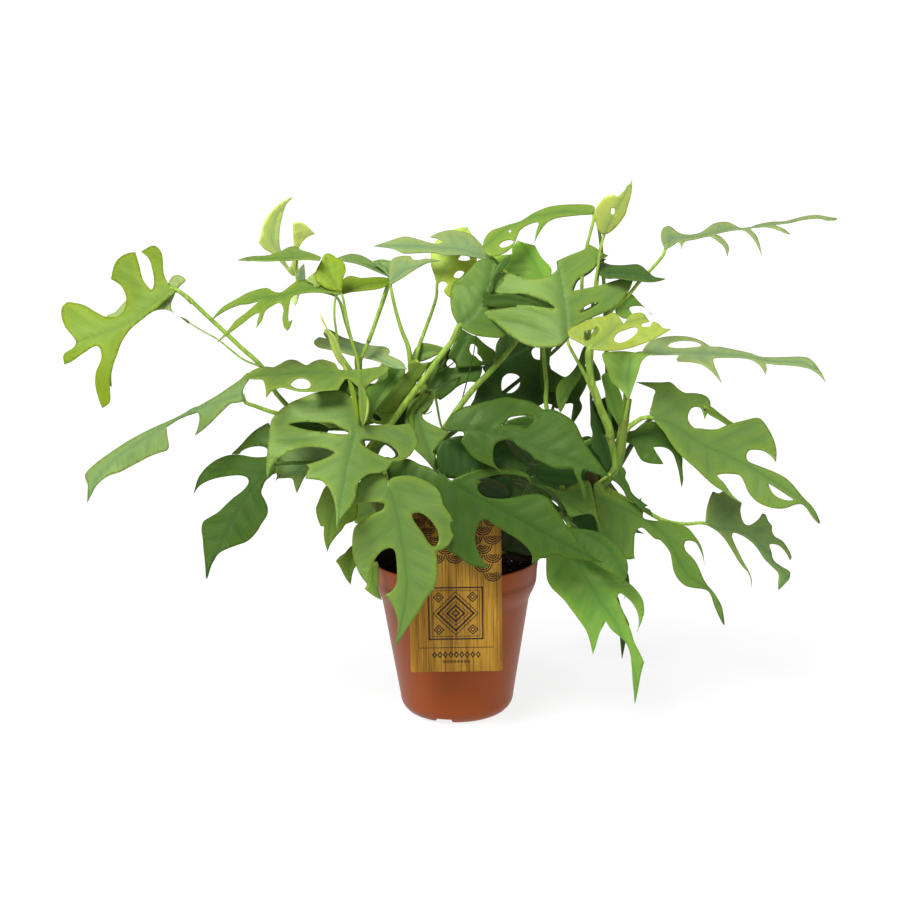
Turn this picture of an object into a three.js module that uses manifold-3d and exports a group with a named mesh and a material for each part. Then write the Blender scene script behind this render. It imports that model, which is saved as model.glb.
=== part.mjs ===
// A mini monstera in a round nursery pot: three leafy stems that grow from the potting soil,
// and a flat wood-look label that hangs in front of the pot on a tongue in the soil.
// Millimetres, +Z up, front towards -Y. The origin is the middle of the pot's foot.
import * as THREE from "three";
import { mergeVertices } from "three/addons/utils/BufferGeometryUtils.js";
import Module from "manifold-3d";

const wasm = await Module();
wasm.setup();

// ---------------------------------------------------------------- driving dimensions

const POT = {
  height: 115,
  rimRadius: 60,
  bandFoot: 99, // height where the rim band ends
  neckHeight: 87, // height where the flare under the band meets the wall
  neckRadius: 53.4,
  footRadius: 33, // flat part of the underside
  heelHeight: 10, // height of the rounded edge round the foot
  heelRadius: 40.8,
  wall: 1.6,
  floor: 5,
  notch: { count: 4, width: 14, height: 3, first: -107, inner: 24 },
  segments: 36,
};
const SOIL = { top: 105.5, mound: 2.5, clearance: 0.3, stemClearance: 0.4 };
const LABEL = {
  left: -32.2,
  right: 31.8,
  bottom: 50,
  top: 176,
  front: -64.2,
  thickness: 1,
  tongueWidth: 18,
  tongueCentre: -1,
  tongueFront: -50,
  tongueFoot: 90,
  bridge: 2.2, // height of the strip that crosses the pot's rim
  slotClearance: 0.3,
};
// drop: an edge point this near its neighbours' line is left out; dropBehind: the same on the leaves behind
const BLADE = { thickness: 0.8, drop: 1, dropBehind: 2.4 };
const STEM = { radius: 3.2, sides: 7, stepLength: 16 };
const STALK = { radius: 1.6, sides: 3, stepLength: 28, sunk: 12 };

// ---------------------------------------------------------------- the plant's elevation

// Stems and leaves are drawn on one front elevation, in perspective: x to the right and z up, in the plane y = 0,
// as they look from EYE. Each drawn point then moves along its own line of sight to its depth.
const EYE = new THREE.Vector3(-2.4, -1459.2, 541.3);

function lift(x, z, y) {
  const reach = 1 - y / EYE.y;
  return new THREE.Vector3(EYE.x + (x - EYE.x) * reach, y, EYE.z + (z - EYE.z) * reach);
}

// "x,z x,z! x,z,y" as a list of points; ! marks a sharp corner.
function drawn(text) {
  return text.trim().split(/\s+/).map((word) => {
    const [x, z, y] = word.replace("!", "").split(",").map(Number);
    return { x, z, y, corner: word.endsWith("!") };
  });
}

// Stems: x,z,y from the root in the soil upwards.
const STEMS = {
  left: ["-34,78,0 -34,100,0 -35,113,0 -46,130,-7 -57,155,-14 -64,185,-20 -66,212,-26 -66,240,-24 -66,262,-20"],
  middle: ["0,78,8 0,100,8 0,113,8 -4,140,0 -9,175,-12 -18,192,-16 -28,208,-16 -29,222,-13 -20,236,-10 -29,256,0"],
  right: [
    "26,78,0 26,100,0 27,112,0 46,125,-6 80,146,-18 104,166,-28 115,176,-32 112,200,-28 105,221,-25",
    "104,166,-28 115,176,-31 118.7,188,-30 122,213,-29 124.6,228.6,-30",
  ],
};

// Leaves: name, stem, depth, rib from base to tip, stalk from the stem to the base, edge, holes.
// depth is [y at the base, dy/dx, dy/dz, y added at the tip, dy for each mm away from the rib].
const LEAVES = [];
function leaf(name, stem, depth, rib, stalk, edge, ...holes) {
  LEAVES.push({
    name,
    stem,
    depth,
    rib: drawn(rib),
    stalk: drawn(stalk),
    edge: drawn(edge),
    holes: holes.map(drawn),
    drop: BLADE.drop,
  });
}

leaf("far_left", "left", [14, -0.2, 0.6, 0, 0.1],
  "-195,313 -212,300 -225,290 -242,283 -264,276",
  `-66,210,-25 -90,212 -108,218 -119,230 -126,239 -134,256 -147,269 -156.5,278.5 -170.5,292.5
  -187.5,309 -195,313`,
  `-197,316 -200,323 -201,338 -206,343 -215,339! -210,334 -208,327 -207,317 -209,312 -212,315 -215,320
  -217,330 -219,338.5! -224,338 -230,335 -234,330 -237,320! -231,316 -228,311 -227,305 -229,298
  -233,294 -242,293.5 -249,297 -257,302 -268,304.5! -272,301 -273,295 -271,287 -266,280 -264,276
  -266,272 -273,267 -273,260! -268,262 -259,268 -250,273 -247,270 -247,263 -251,254 -252,245 -250,234
  -248,228! -244,233 -243.5,246 -240,261 -237.5,267 -233,277.5 -226.5,286 -220.5,291 -214.5,295.5
  -208.5,299.5 -201.5,305.5 -195.5,309.5 -192.5,312`);
leaf("upright_left", "left", [40, 0.3, -0.3, 0, 0],
  "-108,321 -116,331 -124,345 -120,362 -110,374",
  "-66,258,-20 -74,285 -80,305 -90,312 -100,314 -108,321",
  `-110,320 -117,328 -123,335 -130,340 -133,344! -131,351 -128.5,359 -124,365 -118.5,370 -112,374
  -108,375! -113,369.5 -116,361.5 -118,353 -118.5,343 -116.5,334 -112,326 -110,332 -109,339.5
  -109,357! -104.5,358 -99.5,355.5 -94,349.5! -99,347.5 -103,343.5 -105.5,339 -106,330 -106.5,322`);
leaf("flat_left", "left", [-12, 0, 3.2, 0, 0],
  "-107.5,333 -125,333 -148,333",
  "-66,258,-20 -73,284 -79,304 -92,313 -104,316 -107.5,325 -107.5,333",
  `-148,333! -138,334.5 -127,335 -118,337.5 -112,340.5 -107,340.5 -103.5,338 -97,336 -90,333! -91,331
  -99.5,331.5 -115,331.5 -126,331 -136,331.4`);
leaf("shelf_left", "left", [-20, 0.1, 1.5, 0, 0],
  "-78,308 -95,312 -115,308 -135,305 -169,290",
  "-66,240,-24 -66,255 -67.5,264 -70,273.5 -72.5,284.5 -74.5,297.5 -76,306 -78,308",
  `-77,310 -85,315 -93,317 -101,317.5 -108,316 -114,312 -119,309 -124,309.5 -128.5,312 -141.5,309
  -151,304 -160,299 -169,290! -159.5,296 -149,300.5 -141,302 -134,303! -143.5,295 -151.5,289
  -156.5,283 -165,274! -147.5,286.5 -138,293.5 -134.5,294.5 -136,289 -137,284! -133,289 -130,296
  -126,299 -120,301.5 -117.5,297 -118.5,290.5 -117.5,284.5 -115,281.5! -113,284.5 -111.5,289! -114,288
  -113.5,298 -111,306 -105,308 -95,308.5 -84,308 -78,307`);
leaf("flag_left", "left", [-19, 0, 0.5, 0, 0.1],
  "-78,309 -84,320 -87,334",
  "-66,214,-26 -68,236 -75,253 -77.5,259.5 -79.5,269 -81,281 -82,292 -81,303.5 -80,306 -78,309",
  `-79,309 -87,311 -94,317 -94,323 -91,329! -88,335 -86,336 -82.5,335 -80,333 -75,330 -73,324 -75,318
  -76.5,309`);
leaf("wing_left", "left", [8, 0, 1.6, 0, 0],
  "-43,316 -60,314 -77,308",
  "-66,256,-18 -61,266 -57,273 -50,292 -44,312 -43,316",
  "-41,317 -50,318.5 -62.5,318 -70.5,319.5 -75.5,316.5 -77,307! -70,308.5 -62.8,309 -50,310.5 -42,314");
leaf("arch_left", "left", [22, 0, 1.6, 0, 0],
  "-43,319 -56,327 -80,332.5",
  "-57,273,-14 -49,293 -43,312 -43,319",
  `-80,332.5! -69,335 -61.5,333.5 -53.5,329 -49,326 -45.5,324 -42,319! -49,321.8 -58,325.5 -66,329
  -73,330.5`);
leaf("crook_left", "middle", [2, 0, 1.2, 0, 0],
  "-42,316 -32,324 -7,330",
  "-29,252,0 -29.5,261 -31,270 -35,280.5 -40,300 -42,312 -42,316",
  `-42.5,314 -41.5,329.7 -36.5,332.5 -31.5,333 -27.5,332.5 -26.5,330.5 -22,330 -17.5,331 -7,330!
  -14,329 -19.5,327 -28,321.5 -36,316.5`);
leaf("pale_pair", "right", [30, 0.1, 1.0, 0, 0],
  "28.5,331 5,338 -20,340 -53,341",
  "80,146,-16 76,175 70,205 66,227 66.4,239 65.3,252.5 63.4,269 55,295 40,318 28.5,331",
  `28.5,331 24.5,337 20,342 15,347 10,349 0,350.5 -7.5,349 -14,346! -8,344.5 -4,342! -11,341.5 -24,345
  -32,346.5 -45,343 -53,341! -40,338.5 -32.5,335 -24,335 -11,335 -4,333 8,333 16.5,331.5 27,329.5`);
leaf("folded_lime", "middle", [24, 0, -0.2, 0, 0.15],
  "-9.5,314 0,330 12,353",
  "-29,252,0 -25.5,261 -23,269 -18,282 -13,295 -10,305 -9.5,314",
  `-9.5,313.5 -11.5,319.5 -13.5,326 -13.5,334 -11,341 -5,347 3,351 12,353! 16,345 18,336 18,326 14,316
  8,308 0,303 -3,305 -5,308 -2.5,313 -6,315`,
  "5.5,330 8,333 12,333 13.7,330 10,329",
  "2,318 5,322 9.5,321 6,317");
leaf("folded_green", "left", [-14, 0, 0.55, 0, 0.05],
  "5,283 17,293 26,308 29,330",
  "-64,190,-22 -54,203 -43.5,214.5 -33.5,228 -25.5,238.5 -15.5,251.5 -7.5,263 0,272 5,283",
  `28,330 19.5,329 14,324 8,317.5 2.5,314.5 0,308 -0.5,300 0.5,292.5 3,287 5.5,283.5 11,279 18,276
  23.5,275 35.5,274.5 42,280 46,292 43,305 38,314 33,322`);
leaf("broad_top", "right", [-30, 0, 0.6, 0, 0.08],
  "81.5,272.5 79,300 76,318 74,328",
  "105,221,-26 104,222 99.3,233 94.5,244.7 89,255.5 82,269 81.5,272.5",
  `81.5,272.5 89,282.5 97,286.5 105,290 113.5,293.5 119,298.5 123,304 125.5,308 128,316! 122,315
  115,313.5 105,310.5 95.5,308.5 87.5,307 85,306.5 85.5,309 88.5,315 98,321 103.5,327 110,331!
  105,333.5 100.5,337 95.5,339 93.5,336 90.5,334.5 85,332.5 74,328! 74,322 69.5,318 59.5,316 49,317
  40,320 34.5,319.5 30.5,314 29.5,308.5 32,305.5 40,305 50.5,305 60,302 69,298 72.5,294.5 53.5,297
  40,297 29,295.5 22.5,291.5 22.5,288.5 28.7,286.5 33.5,282.3 39,277.3 45,273 51,269.5 59,267 68,266.5
  76,268 80,271.5`,
  "90,291 96,293 103.5,298 98,297.5 92,294");
leaf("behind_top", "middle", [38, 0, 0.5, 0, 0],
  "66,312 60,325 50,340",
  "-18,192,-16 -12,202 -5,211 5.7,226.3 15.7,238.7 28,251.5 41,266 50,280 60,300 66,312",
  "43,340 47,342 58.5,339.5 65,330 72,322 66,312 54,311 38,312 30,316 27,323 28,331 35.5,332.5 43,333!");
leaf("upright_right", "right", [10, 0, -0.2, 0, 0.15],
  "107,345.5 113,358 126,383",
  "112,200,-24 105,221 100.5,235 97.5,250 96.5,262 97,285 100,300 101,311 103,325 104.3,335 107,345.5",
  `107,345.5 103.5,348 101,354.5 100,358.5 101,363.5 103.5,367.5 107.5,371.5 113.5,373.5 116,372
  119,374.5 121.5,376.5 122.5,379 125.5,381 126.5,384! 126.5,378.5 125.5,372 123.5,365.5 122,360
  119.5,356 115.5,351 111,347`,
  "111.8,360 114.2,360 114,364 112,364");
leaf("arching_top", "right", [48, 0, 1.0, 0, 0],
  "99.5,361 80,363 60,360 40,352 25,340",
  "105,221,-20 99,240 96,262 92,290 92,320 95.5,339.5 99.5,361",
  `99.5,361 100.4,365 97,366.5 91,367 79.5,367 70,366 63.5,364 56.6,361 49,356.5 40.5,354 35,352
  28.5,349.5 24,344.5 23,340 24,335 27.5,331.5! 31,336 34,338 40,341 46,345 49,350 55.5,354 60,353
  57,346 58.5,340! 61,346 65,354.5 71.5,356.5 82,359 91,360`);
leaf("flat_right", "right", [4, 0, 2.4, 0, 0],
  "104,320 125,319 150,315",
  "105,221,-18 100,240 97,262 98,290 102,310 104,320",
  `104,326.5 111.5,324.5 119.5,324 130,324.5 133.5,323 137.5,319.5 142,316.5 150,315! 146.5,313 140,312
  132.5,312.5 124,313.5 115,315 109,315 104,318`);
leaf("long_top", "right", [12, 0.3, 2.2, 0, 0],
  "150.5,336.5 154,343.5 166.5,343.5 180,345.5 196,349.5 213.5,350.5 234,353 269,354.5",
  "97,250,-22 100,275 110,290 118,298 125,304 131,311.5 140.5,321.5 148,330.5 150.5,337",
  `150.5,336 147.5,339.5 146.5,345 147.5,349 151,351 154,350 157.5,347 161,345.5 166.5,345 173,346
  177,348 182,351.5 186.5,353 193,353 199,350.5 203.5,349.5 208,350 213.5,351.5 222.5,353 232.5,353.5
  239.5,355 247,356.5 254.5,357 261.5,356 269,355! 268,354 263,354 256,355 247,354.5 240,353.5 234,352
  225.5,351 230,348.5 233.5,346.5 236.5,344! 232.5,345 227,347.5 219.5,349.5 213.5,349.5 208.5,348.5
  212.5,344 215,338.5 217,329.5! 215,334 212,339.5 208,344.5 203.5,347.5 197.5,347.5 190.5,346.5
  184.5,345 188,343 192,339 194,334.5 193,329! 192,332.5 190,336.5 186,340 181,343.5 176,343 170,341.5
  164,340.5 162,338.5 160.5,333.5! 160.5,337.5 159,340 155.5,338`);
leaf("yellow_right", "right", [-48, 0, 0.9, 0, 0],
  "97,266 110,275 118,283 137,287",
  "112,200,-28 110.7,208.5 105,221.5 101,234.5 97.8,243 96.2,255.5 95.8,262 97,266",
  `97,265.5 93,268 87.5,271 83,273.5 81.5,277 83,279.5 90,283 97,286 103.5,288 107,288 110,289.5
  115,290.5 118,287 121,283! 125.5,289 131,290.5 134.5,290 137,287.5 139,284! 135,283.3 133,281.5
  134,280.3 139.5,280.5 140.5,283 142,284! 145,282.5 149,279 154,278.5! 149.5,275.5 145,273 139,270
  132,267.5 124,265 110,263.5`,
  "114.5,273.5 117,276.5 122.5,278.5 129,280.3 131,278 129,275 124,271 117.5,269 114.5,270.5",
  "94,271 93.5,277.5 99,279 102.5,281.5 103.5,279 101,274.5 98,272.5");
leaf("long_right", "right", [-14, 0.3, 1.8, 0, 0],
  "138,261.5 160,262 185,261 205,259 225,255 247,253.5 258,248",
  "122,213,-28 123,240 124,255 130,261 138,261.5",
  `138,261 134.2,262.6 138.2,268.8 144.2,271.7 152.1,273.1 160,273.3 168,272.3 174,270.2 178,268.1
  182,265.5 188,265.2 198,263.2 210,260.5 216,258.3 223,257.4 233,257.2 247,257.1 252,255.7
  256.6,251.5 260.2,246.4 263.8,238.7! 258.2,244.9 252.1,248.9 247.1,250 238.1,251.3 228.1,252
  221.5,252.8 222,248.5 221.3,244.9! 219,249 216,252.6 211,255.8 206,257 198,257.5 188,257.5
  184.3,256.8 184.5,253.1 187.1,247 190.4,239.3! 186.1,244.5 181,249.6 176,252.8 170,254.4 164,255
  159,255.4 158.2,257.1 160,259.9 150,260.3`,
  "152,266 153.5,268.2 158.1,269.6 165.1,270 172.2,269 176,266.8 174.2,265.6 166.2,264.8 158.2,264.8");
leaf("small_right", "right", [-34, 0, 0.35, 0, 0.1],
  "124.6,229 124,245 126,258",
  "121,207,-29 122,213 123.5,222 124.6,229",
  `124.6,228.6 127,234.5 129.5,242 131.6,248.7 133.6,255.2 137.7,259.3 144,260.5 133.7,261.5
  121.5,263.2 113.3,263 106,262 106,259 108.3,252 110,247 112.4,241 116.5,237.8 119.7,234.5 123,230.3`);
leaf("small_right_back", "right", [-22, 0, 0.35, 0, 0.1],
  "118.5,209 114,225 107,244",
  "114.5,180,-28 116,195 118.5,209",
  `118.5,208.6 119.7,213.7 120.8,220 120.5,226.9 119.3,231.9 117.3,236.8 112.4,243 109,248 105.5,246
  105.9,242 107.9,233.7 108.3,227 110.8,220.4 114,215.5`);
leaf("broad_right", "right", [-32, 0.3, 0.7, 0, 0.12],
  "142,214.6 155,211 165,204 178,195 195,187 212,178 232,165 250,152 262,136",
  "120.3,200.5,-28 122.5,206 128.7,211.4 136.5,215.5 142,214.6",
  `142,215 139.5,218 141,224 142.3,230 143.3,234.5 137,238 130,240.7! 136,240.6 148.2,240.2 153.2,240.5
  156.3,238.7 159.3,235.6 164.3,232.5 170.3,232.2 176.3,231.2 180.4,229 182.2,226 182.5,222.4
  181.5,219.5 180,216.8 178.6,213.4! 177.5,217.3 176,221 173.4,222.3 169.5,221.6 167,217.5 166.7,213.5
  168.6,209.4 171.6,206.8 175.6,206.5 182.7,205.5 188.7,206 194.3,208.5 198.8,209.8 206.9,211.8
  215.5,213.6 219,212 224.2,204.8 227.8,197.6 230,189.5 229.9,181! 226.5,185.5 221.3,189.2 215.2,190.4
  210.7,190 208.5,186.5 209.8,181.8 215.4,178.2 224.6,173.5 232.8,170.3 240,166 245.1,159.8 251.3,154
  255.5,149.3 259.2,143 262.2,135.3! 257.8,139.5 252.7,147.3 249.6,149.7 244.5,149.6 237.3,147
  229.2,147 221,149.7 215.9,152.9 210.7,159 207.6,166.3 204.4,171.5 200.3,172.7 192.2,173 188.1,172
  193.3,165.8 199.4,157 205.6,151! 199,155 193.3,159.5 185.3,165 179.2,170.7 173,176.9 167,182.5
  161,188 154,197.3 149.8,204.4 145.8,209`,
  "224.7,165.3 229.8,162.6 238,157 243,153.3 239.2,152.6 232,154.9 227.4,159");
leaf("dark_right", "right", [-24, 0, 0.35, 0, 0],
  "122.5,201 140,203 152,196 158,185 163,166",
  "119,192,-30 120.5,198 122.5,201",
  `122.5,204.7 128.5,206 135.7,211.3 143,212 149,205.7 154,197.5 159,191 163,185.6 163.2,179
  163.8,171.8 164,168.8 162.8,163.2! 161.8,168.8 160.6,176 158.5,183.2 156.5,188.4 153,192 148,193.5
  142.4,193.4! 145,188.6 148.4,183.4 149.7,180.8! 144,181 138,182 134,184.2 131.4,187.8 129.9,190.9
  128.3,194.5 124.8,196.7 120.8,197.7`);
leaf("split_left", "left", [-38, -0.3, 0.6, 0, 0.15],
  "-148.5,237 -165.5,232 -180.5,226.5 -200.5,217 -222.5,204 -240.5,192 -255.5,177 -262.5,161",
  "-66,215,-26 -80,221 -100,221.5 -118,221 -127,223 -140,228 -147,231 -148,236",
  `-147.5,232 -148.5,238 -146.5,243 -143.5,247 -142,250.5 -144,252 -150,246.8 -159.5,240.5 -166.5,236
  -173,232.5 -179.5,229 -184.5,227.3 -190,224 -196.5,220.7 -202.5,218 -210.5,214.5 -218.5,210.7
  -227,206.3 -235.5,201.3 -243.5,196 -252.5,189.8 -259,184.3 -262.5,180.5 -263,177.6 -261.5,172.5
  -262,167.5 -263,159.5! -260,164.5 -256,171 -251,175.8 -245.5,179 -238,181.3 -231,184.8 -224.2,188.3
  -216.5,192.2 -209.2,195 -204.1,196.5 -202.2,199 -202.1,201 -203,207.9 -203.5,213.8! -199.8,216
  -194.5,219.5 -189.8,221.4 -184.1,223 -180.5,224! -179.5,220 -180.7,214 -183.5,207! -179,210
  -172.2,215.7 -165.5,222.3 -159.8,227.7 -156.8,230 -152.5,230.5`);
leaf("level_left", "left", [-30, 0, 2.4, 0, 0],
  "-68,251 -85,252 -100,252.5 -120,251 -140,250 -147,248",
  "-66,236,-24 -67,246 -68,251",
  `-147,248 -143,252 -137,255 -131,256 -126,255.5 -121,257.8 -115.5,260.5 -110,260.3 -105,257.5
  -102.5,256.5 -98,259 -92,260.5 -86,259 -82,257 -80,253.5 -71,253 -60,253.5 -50,254.8 -44,254.5!
  -47,249 -50,245 -55,239 -60,234 -66,231 -73,229 -79,232! -86.5,238.2 -98,237.5! -108.5,238
  -113.8,239.3 -119,240.8 -121.7,241! -127,239 -129,237.3 -132,233.5! -131.8,237.5 -132.3,242.5
  -133.5,246.5 -135.5,247.3 -139,247.3 -143,248`,
  "-114.3,243 -111,246.3 -107,247.5 -102,246 -100,242.5 -101.5,240 -106,239.4 -111,240.3");
leaf("broad_left", "left", [-62, 0.12, 0.6, 0, 0.1],
  "-69,211 -72,200 -76,185 -79,170 -82,155 -84,137",
  "-65,196,-24 -67,206 -69,211",
  `-66,212 -66.5,220 -69,229 -74,235 -80,238.3 -87.5,238 -96.5,236.9 -104.7,234 -114.5,230 -120,226.5
  -126,221 -129,216.5 -130.2,209.5 -132,197 -133.3,187.5 -133.7,180 -133.3,174.8! -131,180 -129.5,184
  -125.3,189 -121,191.7 -113,195.7 -106,197.3 -98,197.3 -89,195.6 -84,193! -89,190 -95,187.5 -100,186
  -105,184.5! -103,182 -104.5,179.5 -106,174.5! -99,173.5 -94,172.3 -91.7,169.8 -89,166.3 -86,158
  -84.8,149.3 -84.9,141 -84.2,135.8! -82.3,143 -79,147.5 -74.7,152.3 -71.5,157.5 -70,162.5 -69.5,167
  -67.7,171.3 -64,174.8 -60,177 -54,177.5 -49.8,178.3 -47.7,179.5 -45.5,182.5 -43.6,185.3 -40,186.2
  -35.8,186.8 -30.4,190.5 -28.6,193.3 -26,196.5 -24.6,200 -25.8,204.7 -27.7,209 -31,213.5! -35,213
  -40,212.3 -46.5,213 -54.5,212.5 -62.7,212.7`,
  `-66.5,201 -62,202.6 -55,201.8 -47,199.3 -43.4,197 -39.7,193 -39,190 -41,188.6 -45.7,188 -50.5,189.8
  -57,193 -62,196.5 -65.5,199`,
  `-116.5,214.3 -111,215.5 -103,215.8 -95,215 -84,214 -80.8,211.5 -74.3,208.8 -74.8,206.5 -84.3,206.8
  -91,208 -103,209.8 -111,212`);
leaf("hooked_left", "left", [-44, -0.3, 0.4, 0, 0.15],
  "-131,184 -138,176 -146,166 -158,148 -165,135 -172,120 -179.5,102",
  "-62,178,-20 -85,184 -105,186 -131,184",
  `-128,188 -128,205 -130.8,215.2 -134.5,213.7 -140,210.5 -145.5,205.7 -150.7,200 -157.8,193.3!
  -152,193.5 -151,195 -147.6,197 -142.7,198.4 -137.7,198.7 -134,198 -132,196 -132.2,191.5 -141,190.5
  -151,192.3 -155,192.8 -161.5,192 -169,189 -176,183.8 -180,179.3 -182.8,174.7 -184.7,169 -186,164.5!
  -183,169 -178.5,172.5 -171,175.4 -162.7,177 -154.5,177.7 -149.6,177 -146.8,175.3 -146.5,172
  -148.8,168.6 -151.8,165.5 -157.8,161 -163.7,155.6 -169,150.6 -175,147 -179.2,144.5 -180.8,142
  -181.5,137 -181,131.7 -180.7,123 -180.2,115.3 -179.8,107.6 -179.5,100.8! -178,106 -175.7,112
  -172,118 -168.5,121 -163.5,123.3 -156.6,125.8 -149.9,128.2 -145.5,131.5 -141,137 -138.5,141.3
  -134.8,146.7 -133.6,150.5 -134,154.8 -136,160 -137.8,164 -136.6,168.5 -134.5,173 -130.6,176.4
  -127,181`);
leaf("shaded_left", "left", [-28, 0, 0.4, 0, 0],
  "-84,190 -98,188 -112,180 -128,172",
  "-61,172,-18 -72,184 -84,190",
  `-82,191 -89,198 -98,200 -106,200 -113,198 -121,194 -126,190 -130,184 -131,177.5 -124.7,179.5!
  -128,172! -126,174.5 -122,175 -115.5,174.5 -113.7,168 -112.5,163.5! -110.3,167.7 -107.5,173.5
  -103,180 -94,186`);
leaf("olive_left", "left", [-34, 0, 0.4, 0, 0.1],
  "-80,170 -86,155 -90,138 -91.8,120",
  "-59,160,-15 -70,168 -80,170",
  `-72,172 -84,172 -91.5,168.5 -94.5,163.4 -97,157.5 -99,152.3 -98.7,147.3 -97.6,143 -96,138.8! -94,139
  -94.2,132.7 -93.5,126.7 -91.8,119.8! -89.8,124.8 -85.5,130.8 -81,135.7 -78,140 -72.8,142 -70,145
  -69,158`);
leaf("scrap_left", "left", [-30, 0, 0.3, 0, 0],
  "-68,124 -76,114 -77,98",
  "-46,130,-7 -60,128 -68,124",
  `-68,125 -74,124.2 -79.3,118.8 -83.2,116 -86,112.7! -83.8,109.5 -79.3,100 -75.7,94.6! -74.5,101.7
  -72.7,106.8 -69,112`);
leaf("tuck_left", "left", [-40, 0, 0.3, 0, 0],
  "-59,110 -60,98 -54,84",
  "-46,130,-7 -56,122 -59,110",
  "-56,112 -62,108 -63,97 -65.7,91.4! -59.8,86.3 -53.3,82.7! -56,92 -55,102");
leaf("front_left", "left", [-76, 0, 0.36, 22, 0.1],
  "-47,169 -43,155 -40,140 -38,125 -36,110 -35,95 -37,78 -41,60 -45.5,46",
  "-64,190,-22 -57,188 -50,180 -47,169",
  `-47,169 -49.7,176 -56.5,177 -61.3,176.3 -65.7,173 -67.8,170.2 -69,165.5 -70,160.3 -71.3,155!
  -66.7,155.6 -60,156 -53.5,156 -50,154.5 -51,151 -53.5,149.5 -58.5,147.2 -63.5,144 -68.5,141
  -71.5,138 -73,133.8 -73.7,127 -73.7,120 -73,114 -71.3,108.8 -69.7,104.4 -67.3,100 -65,96.7
  -63.2,94.3! -62.4,101 -61.2,106 -59.7,110.5 -56.4,115.5 -54,118.5 -50.7,120.7 -46.5,122 -44.5,121.2
  -43,118.5 -42.4,114.3 -42,107.4 -42,102.2 -42.2,97 -43.7,92.7 -46.3,89.3 -51.3,86.5! -48.2,83
  -45.9,79 -43.5,72.7 -42.3,65.7 -42.8,58.7 -44,51.7 -45.5,46! -42.5,50 -38.3,56 -34,63 -30,69
  -25.8,75.5 -21,83.8 -17.5,88 -14,94 -13.2,100 -13,106.8 -13,113.7 -13.4,118.5 -8.3,120.5 -5,123
  -2,127.3 -0.4,132.5 -0.3,137.6 -1.5,142.8 -4.3,148 -7.5,153.3 -9.3,160 -12,165 -17,169.3 -23.5,172.8
  -28.3,174.7 -34,175.4 -41.3,174.7 -45.5,173`,
  `-30.4,146.5 -28,147.7 -24,147.5 -20,145 -15.8,140.5 -12.7,135 -11.3,129.7 -11.8,125.5 -15,122
  -19,125.5 -22.3,131.6 -27,138.5 -29.7,143`);
leaf("front_right", "middle", [-70, 0, 0.3, 0, 0.05],
  "-4,171 20,157 45,143 70,128 90,117 106,109",
  "-9,175,-12 -10,179 -4,171",
  `-4,171 2.8,174 9.5,176.7 17.7,179 23.5,180 30,179.5 36,179 41.5,178.5 48,177.5 53,175 55,169.7
  56,167! 53,171.5 50.5,172.8 44,174.7 36.5,175.3 29,174.5 23.3,172.6 19.2,169.7 17,166.4 18.3,162
  22.3,159 27.3,157.7 35.5,157.3 43.7,158.2 52.7,160 60,160.3 66,158 69.2,155 71.2,150.7 74,147.3
  77.3,142 80.7,136 84,131.8 87.3,125.8 93,119 99.7,113 106.3,108.7! 97.2,109.6 89,110.3 80.7,111.8
  72.5,115 66.7,113.4 61.8,113 59.7,110.4 55.2,108.3! 55.8,114.3 56,112.5 55,116 51.5,121 45.5,126.5
  39,131 32.5,135 26,139.5 21.5,142.5 19.7,141.3 16.8,137 15,132 14.8,126.8 15.7,121.6 17.3,116.4
  20.2,111 22.6,107.2 25,105! 21,106 12.7,107.6 6,111.6 2,115.2 -3,118 -9,124 -13,140 -18,155 -34,163
  -44,176 -46,182 -44.7,186 -38,186.5 -32.4,187.7 -23.5,183.3 -17,181 -10,176`);
leaf("centre", "middle", [-64, 0, 0.5, 0, 0.06],
  "-7,209 20,208 40,203 60,195 85,185 111,173.5",
  "-20,236,-10 -14,237 -12,231 -8.5,212 -7,209",
  `-7,210 -5,213.5 -1,219.3 1.5,221.7 5.5,224 15.5,226.5 28,229.5 36.3,231.2 44.5,230.3 55,228 60.7,225
  64.3,222 70.4,222 76,219.7 84,214.5 87.3,210.7 89.7,205.7 93,198 97,192 102.5,184.4 107.3,177.7
  111,172.7! 105,173.6 97,176.6 92.5,178 91,172 94,164 93.8,154! 91.5,161 89.5,168 86.5,174 84.5,179
  79.8,178.6 72.5,179 65,182.5 60.2,185 57.7,186 55.3,189.3 50.4,192.7 46.3,195.3 43.5,198.7
  39.8,200.6 34.8,200.2 30.7,198.2 28.6,194 28.2,188.2 29.3,183 35.5,175.5! 31,178.7 25.4,181.7
  18,185.3 11.6,190.5 7.6,196.5 5.2,200.3 7.5,204 7,207 0.3,207.3 -5,208`,
  `34.2,211 38,213.5 39.7,216.3 44.7,217.6 52,218 57.3,217.3 57.3,215 55.2,211.2 52.8,209 46.2,210.5
  39.7,211.5`);
leaf("under_centre", "middle", [-50, 0, 0.4, 0, 0],
  "-4,200 10,192 30,180",
  "-16,190,-16 -4,200",
  `-10,197.3 -0.6,203 12,204 30,204 38,198 41,192 44,188! 50,184 54,180 44,176 30,172 10,172 -8,176
  -12.2,190.5`);
leaf("tucked_centre", "middle", [-10, 0, 0.4, 0, 0],
  "-29,230 -24,215 -18,195 -13.5,179",
  "-20,236,-10 -26,236 -29,230",
  `-29,234 -26,236 -20,235 -13,232.5! -14,228 -17,224 -21.5,220.5 -21,217 -16.5,213.5 -9.5,210 -3,207
  -8,200 -10.6,196.6 -12.7,189 -13.6,182 -13.2,178! -18,184.5 -23,190 -27,193.7! -30,200 -34,215
  -32,225`);
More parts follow.
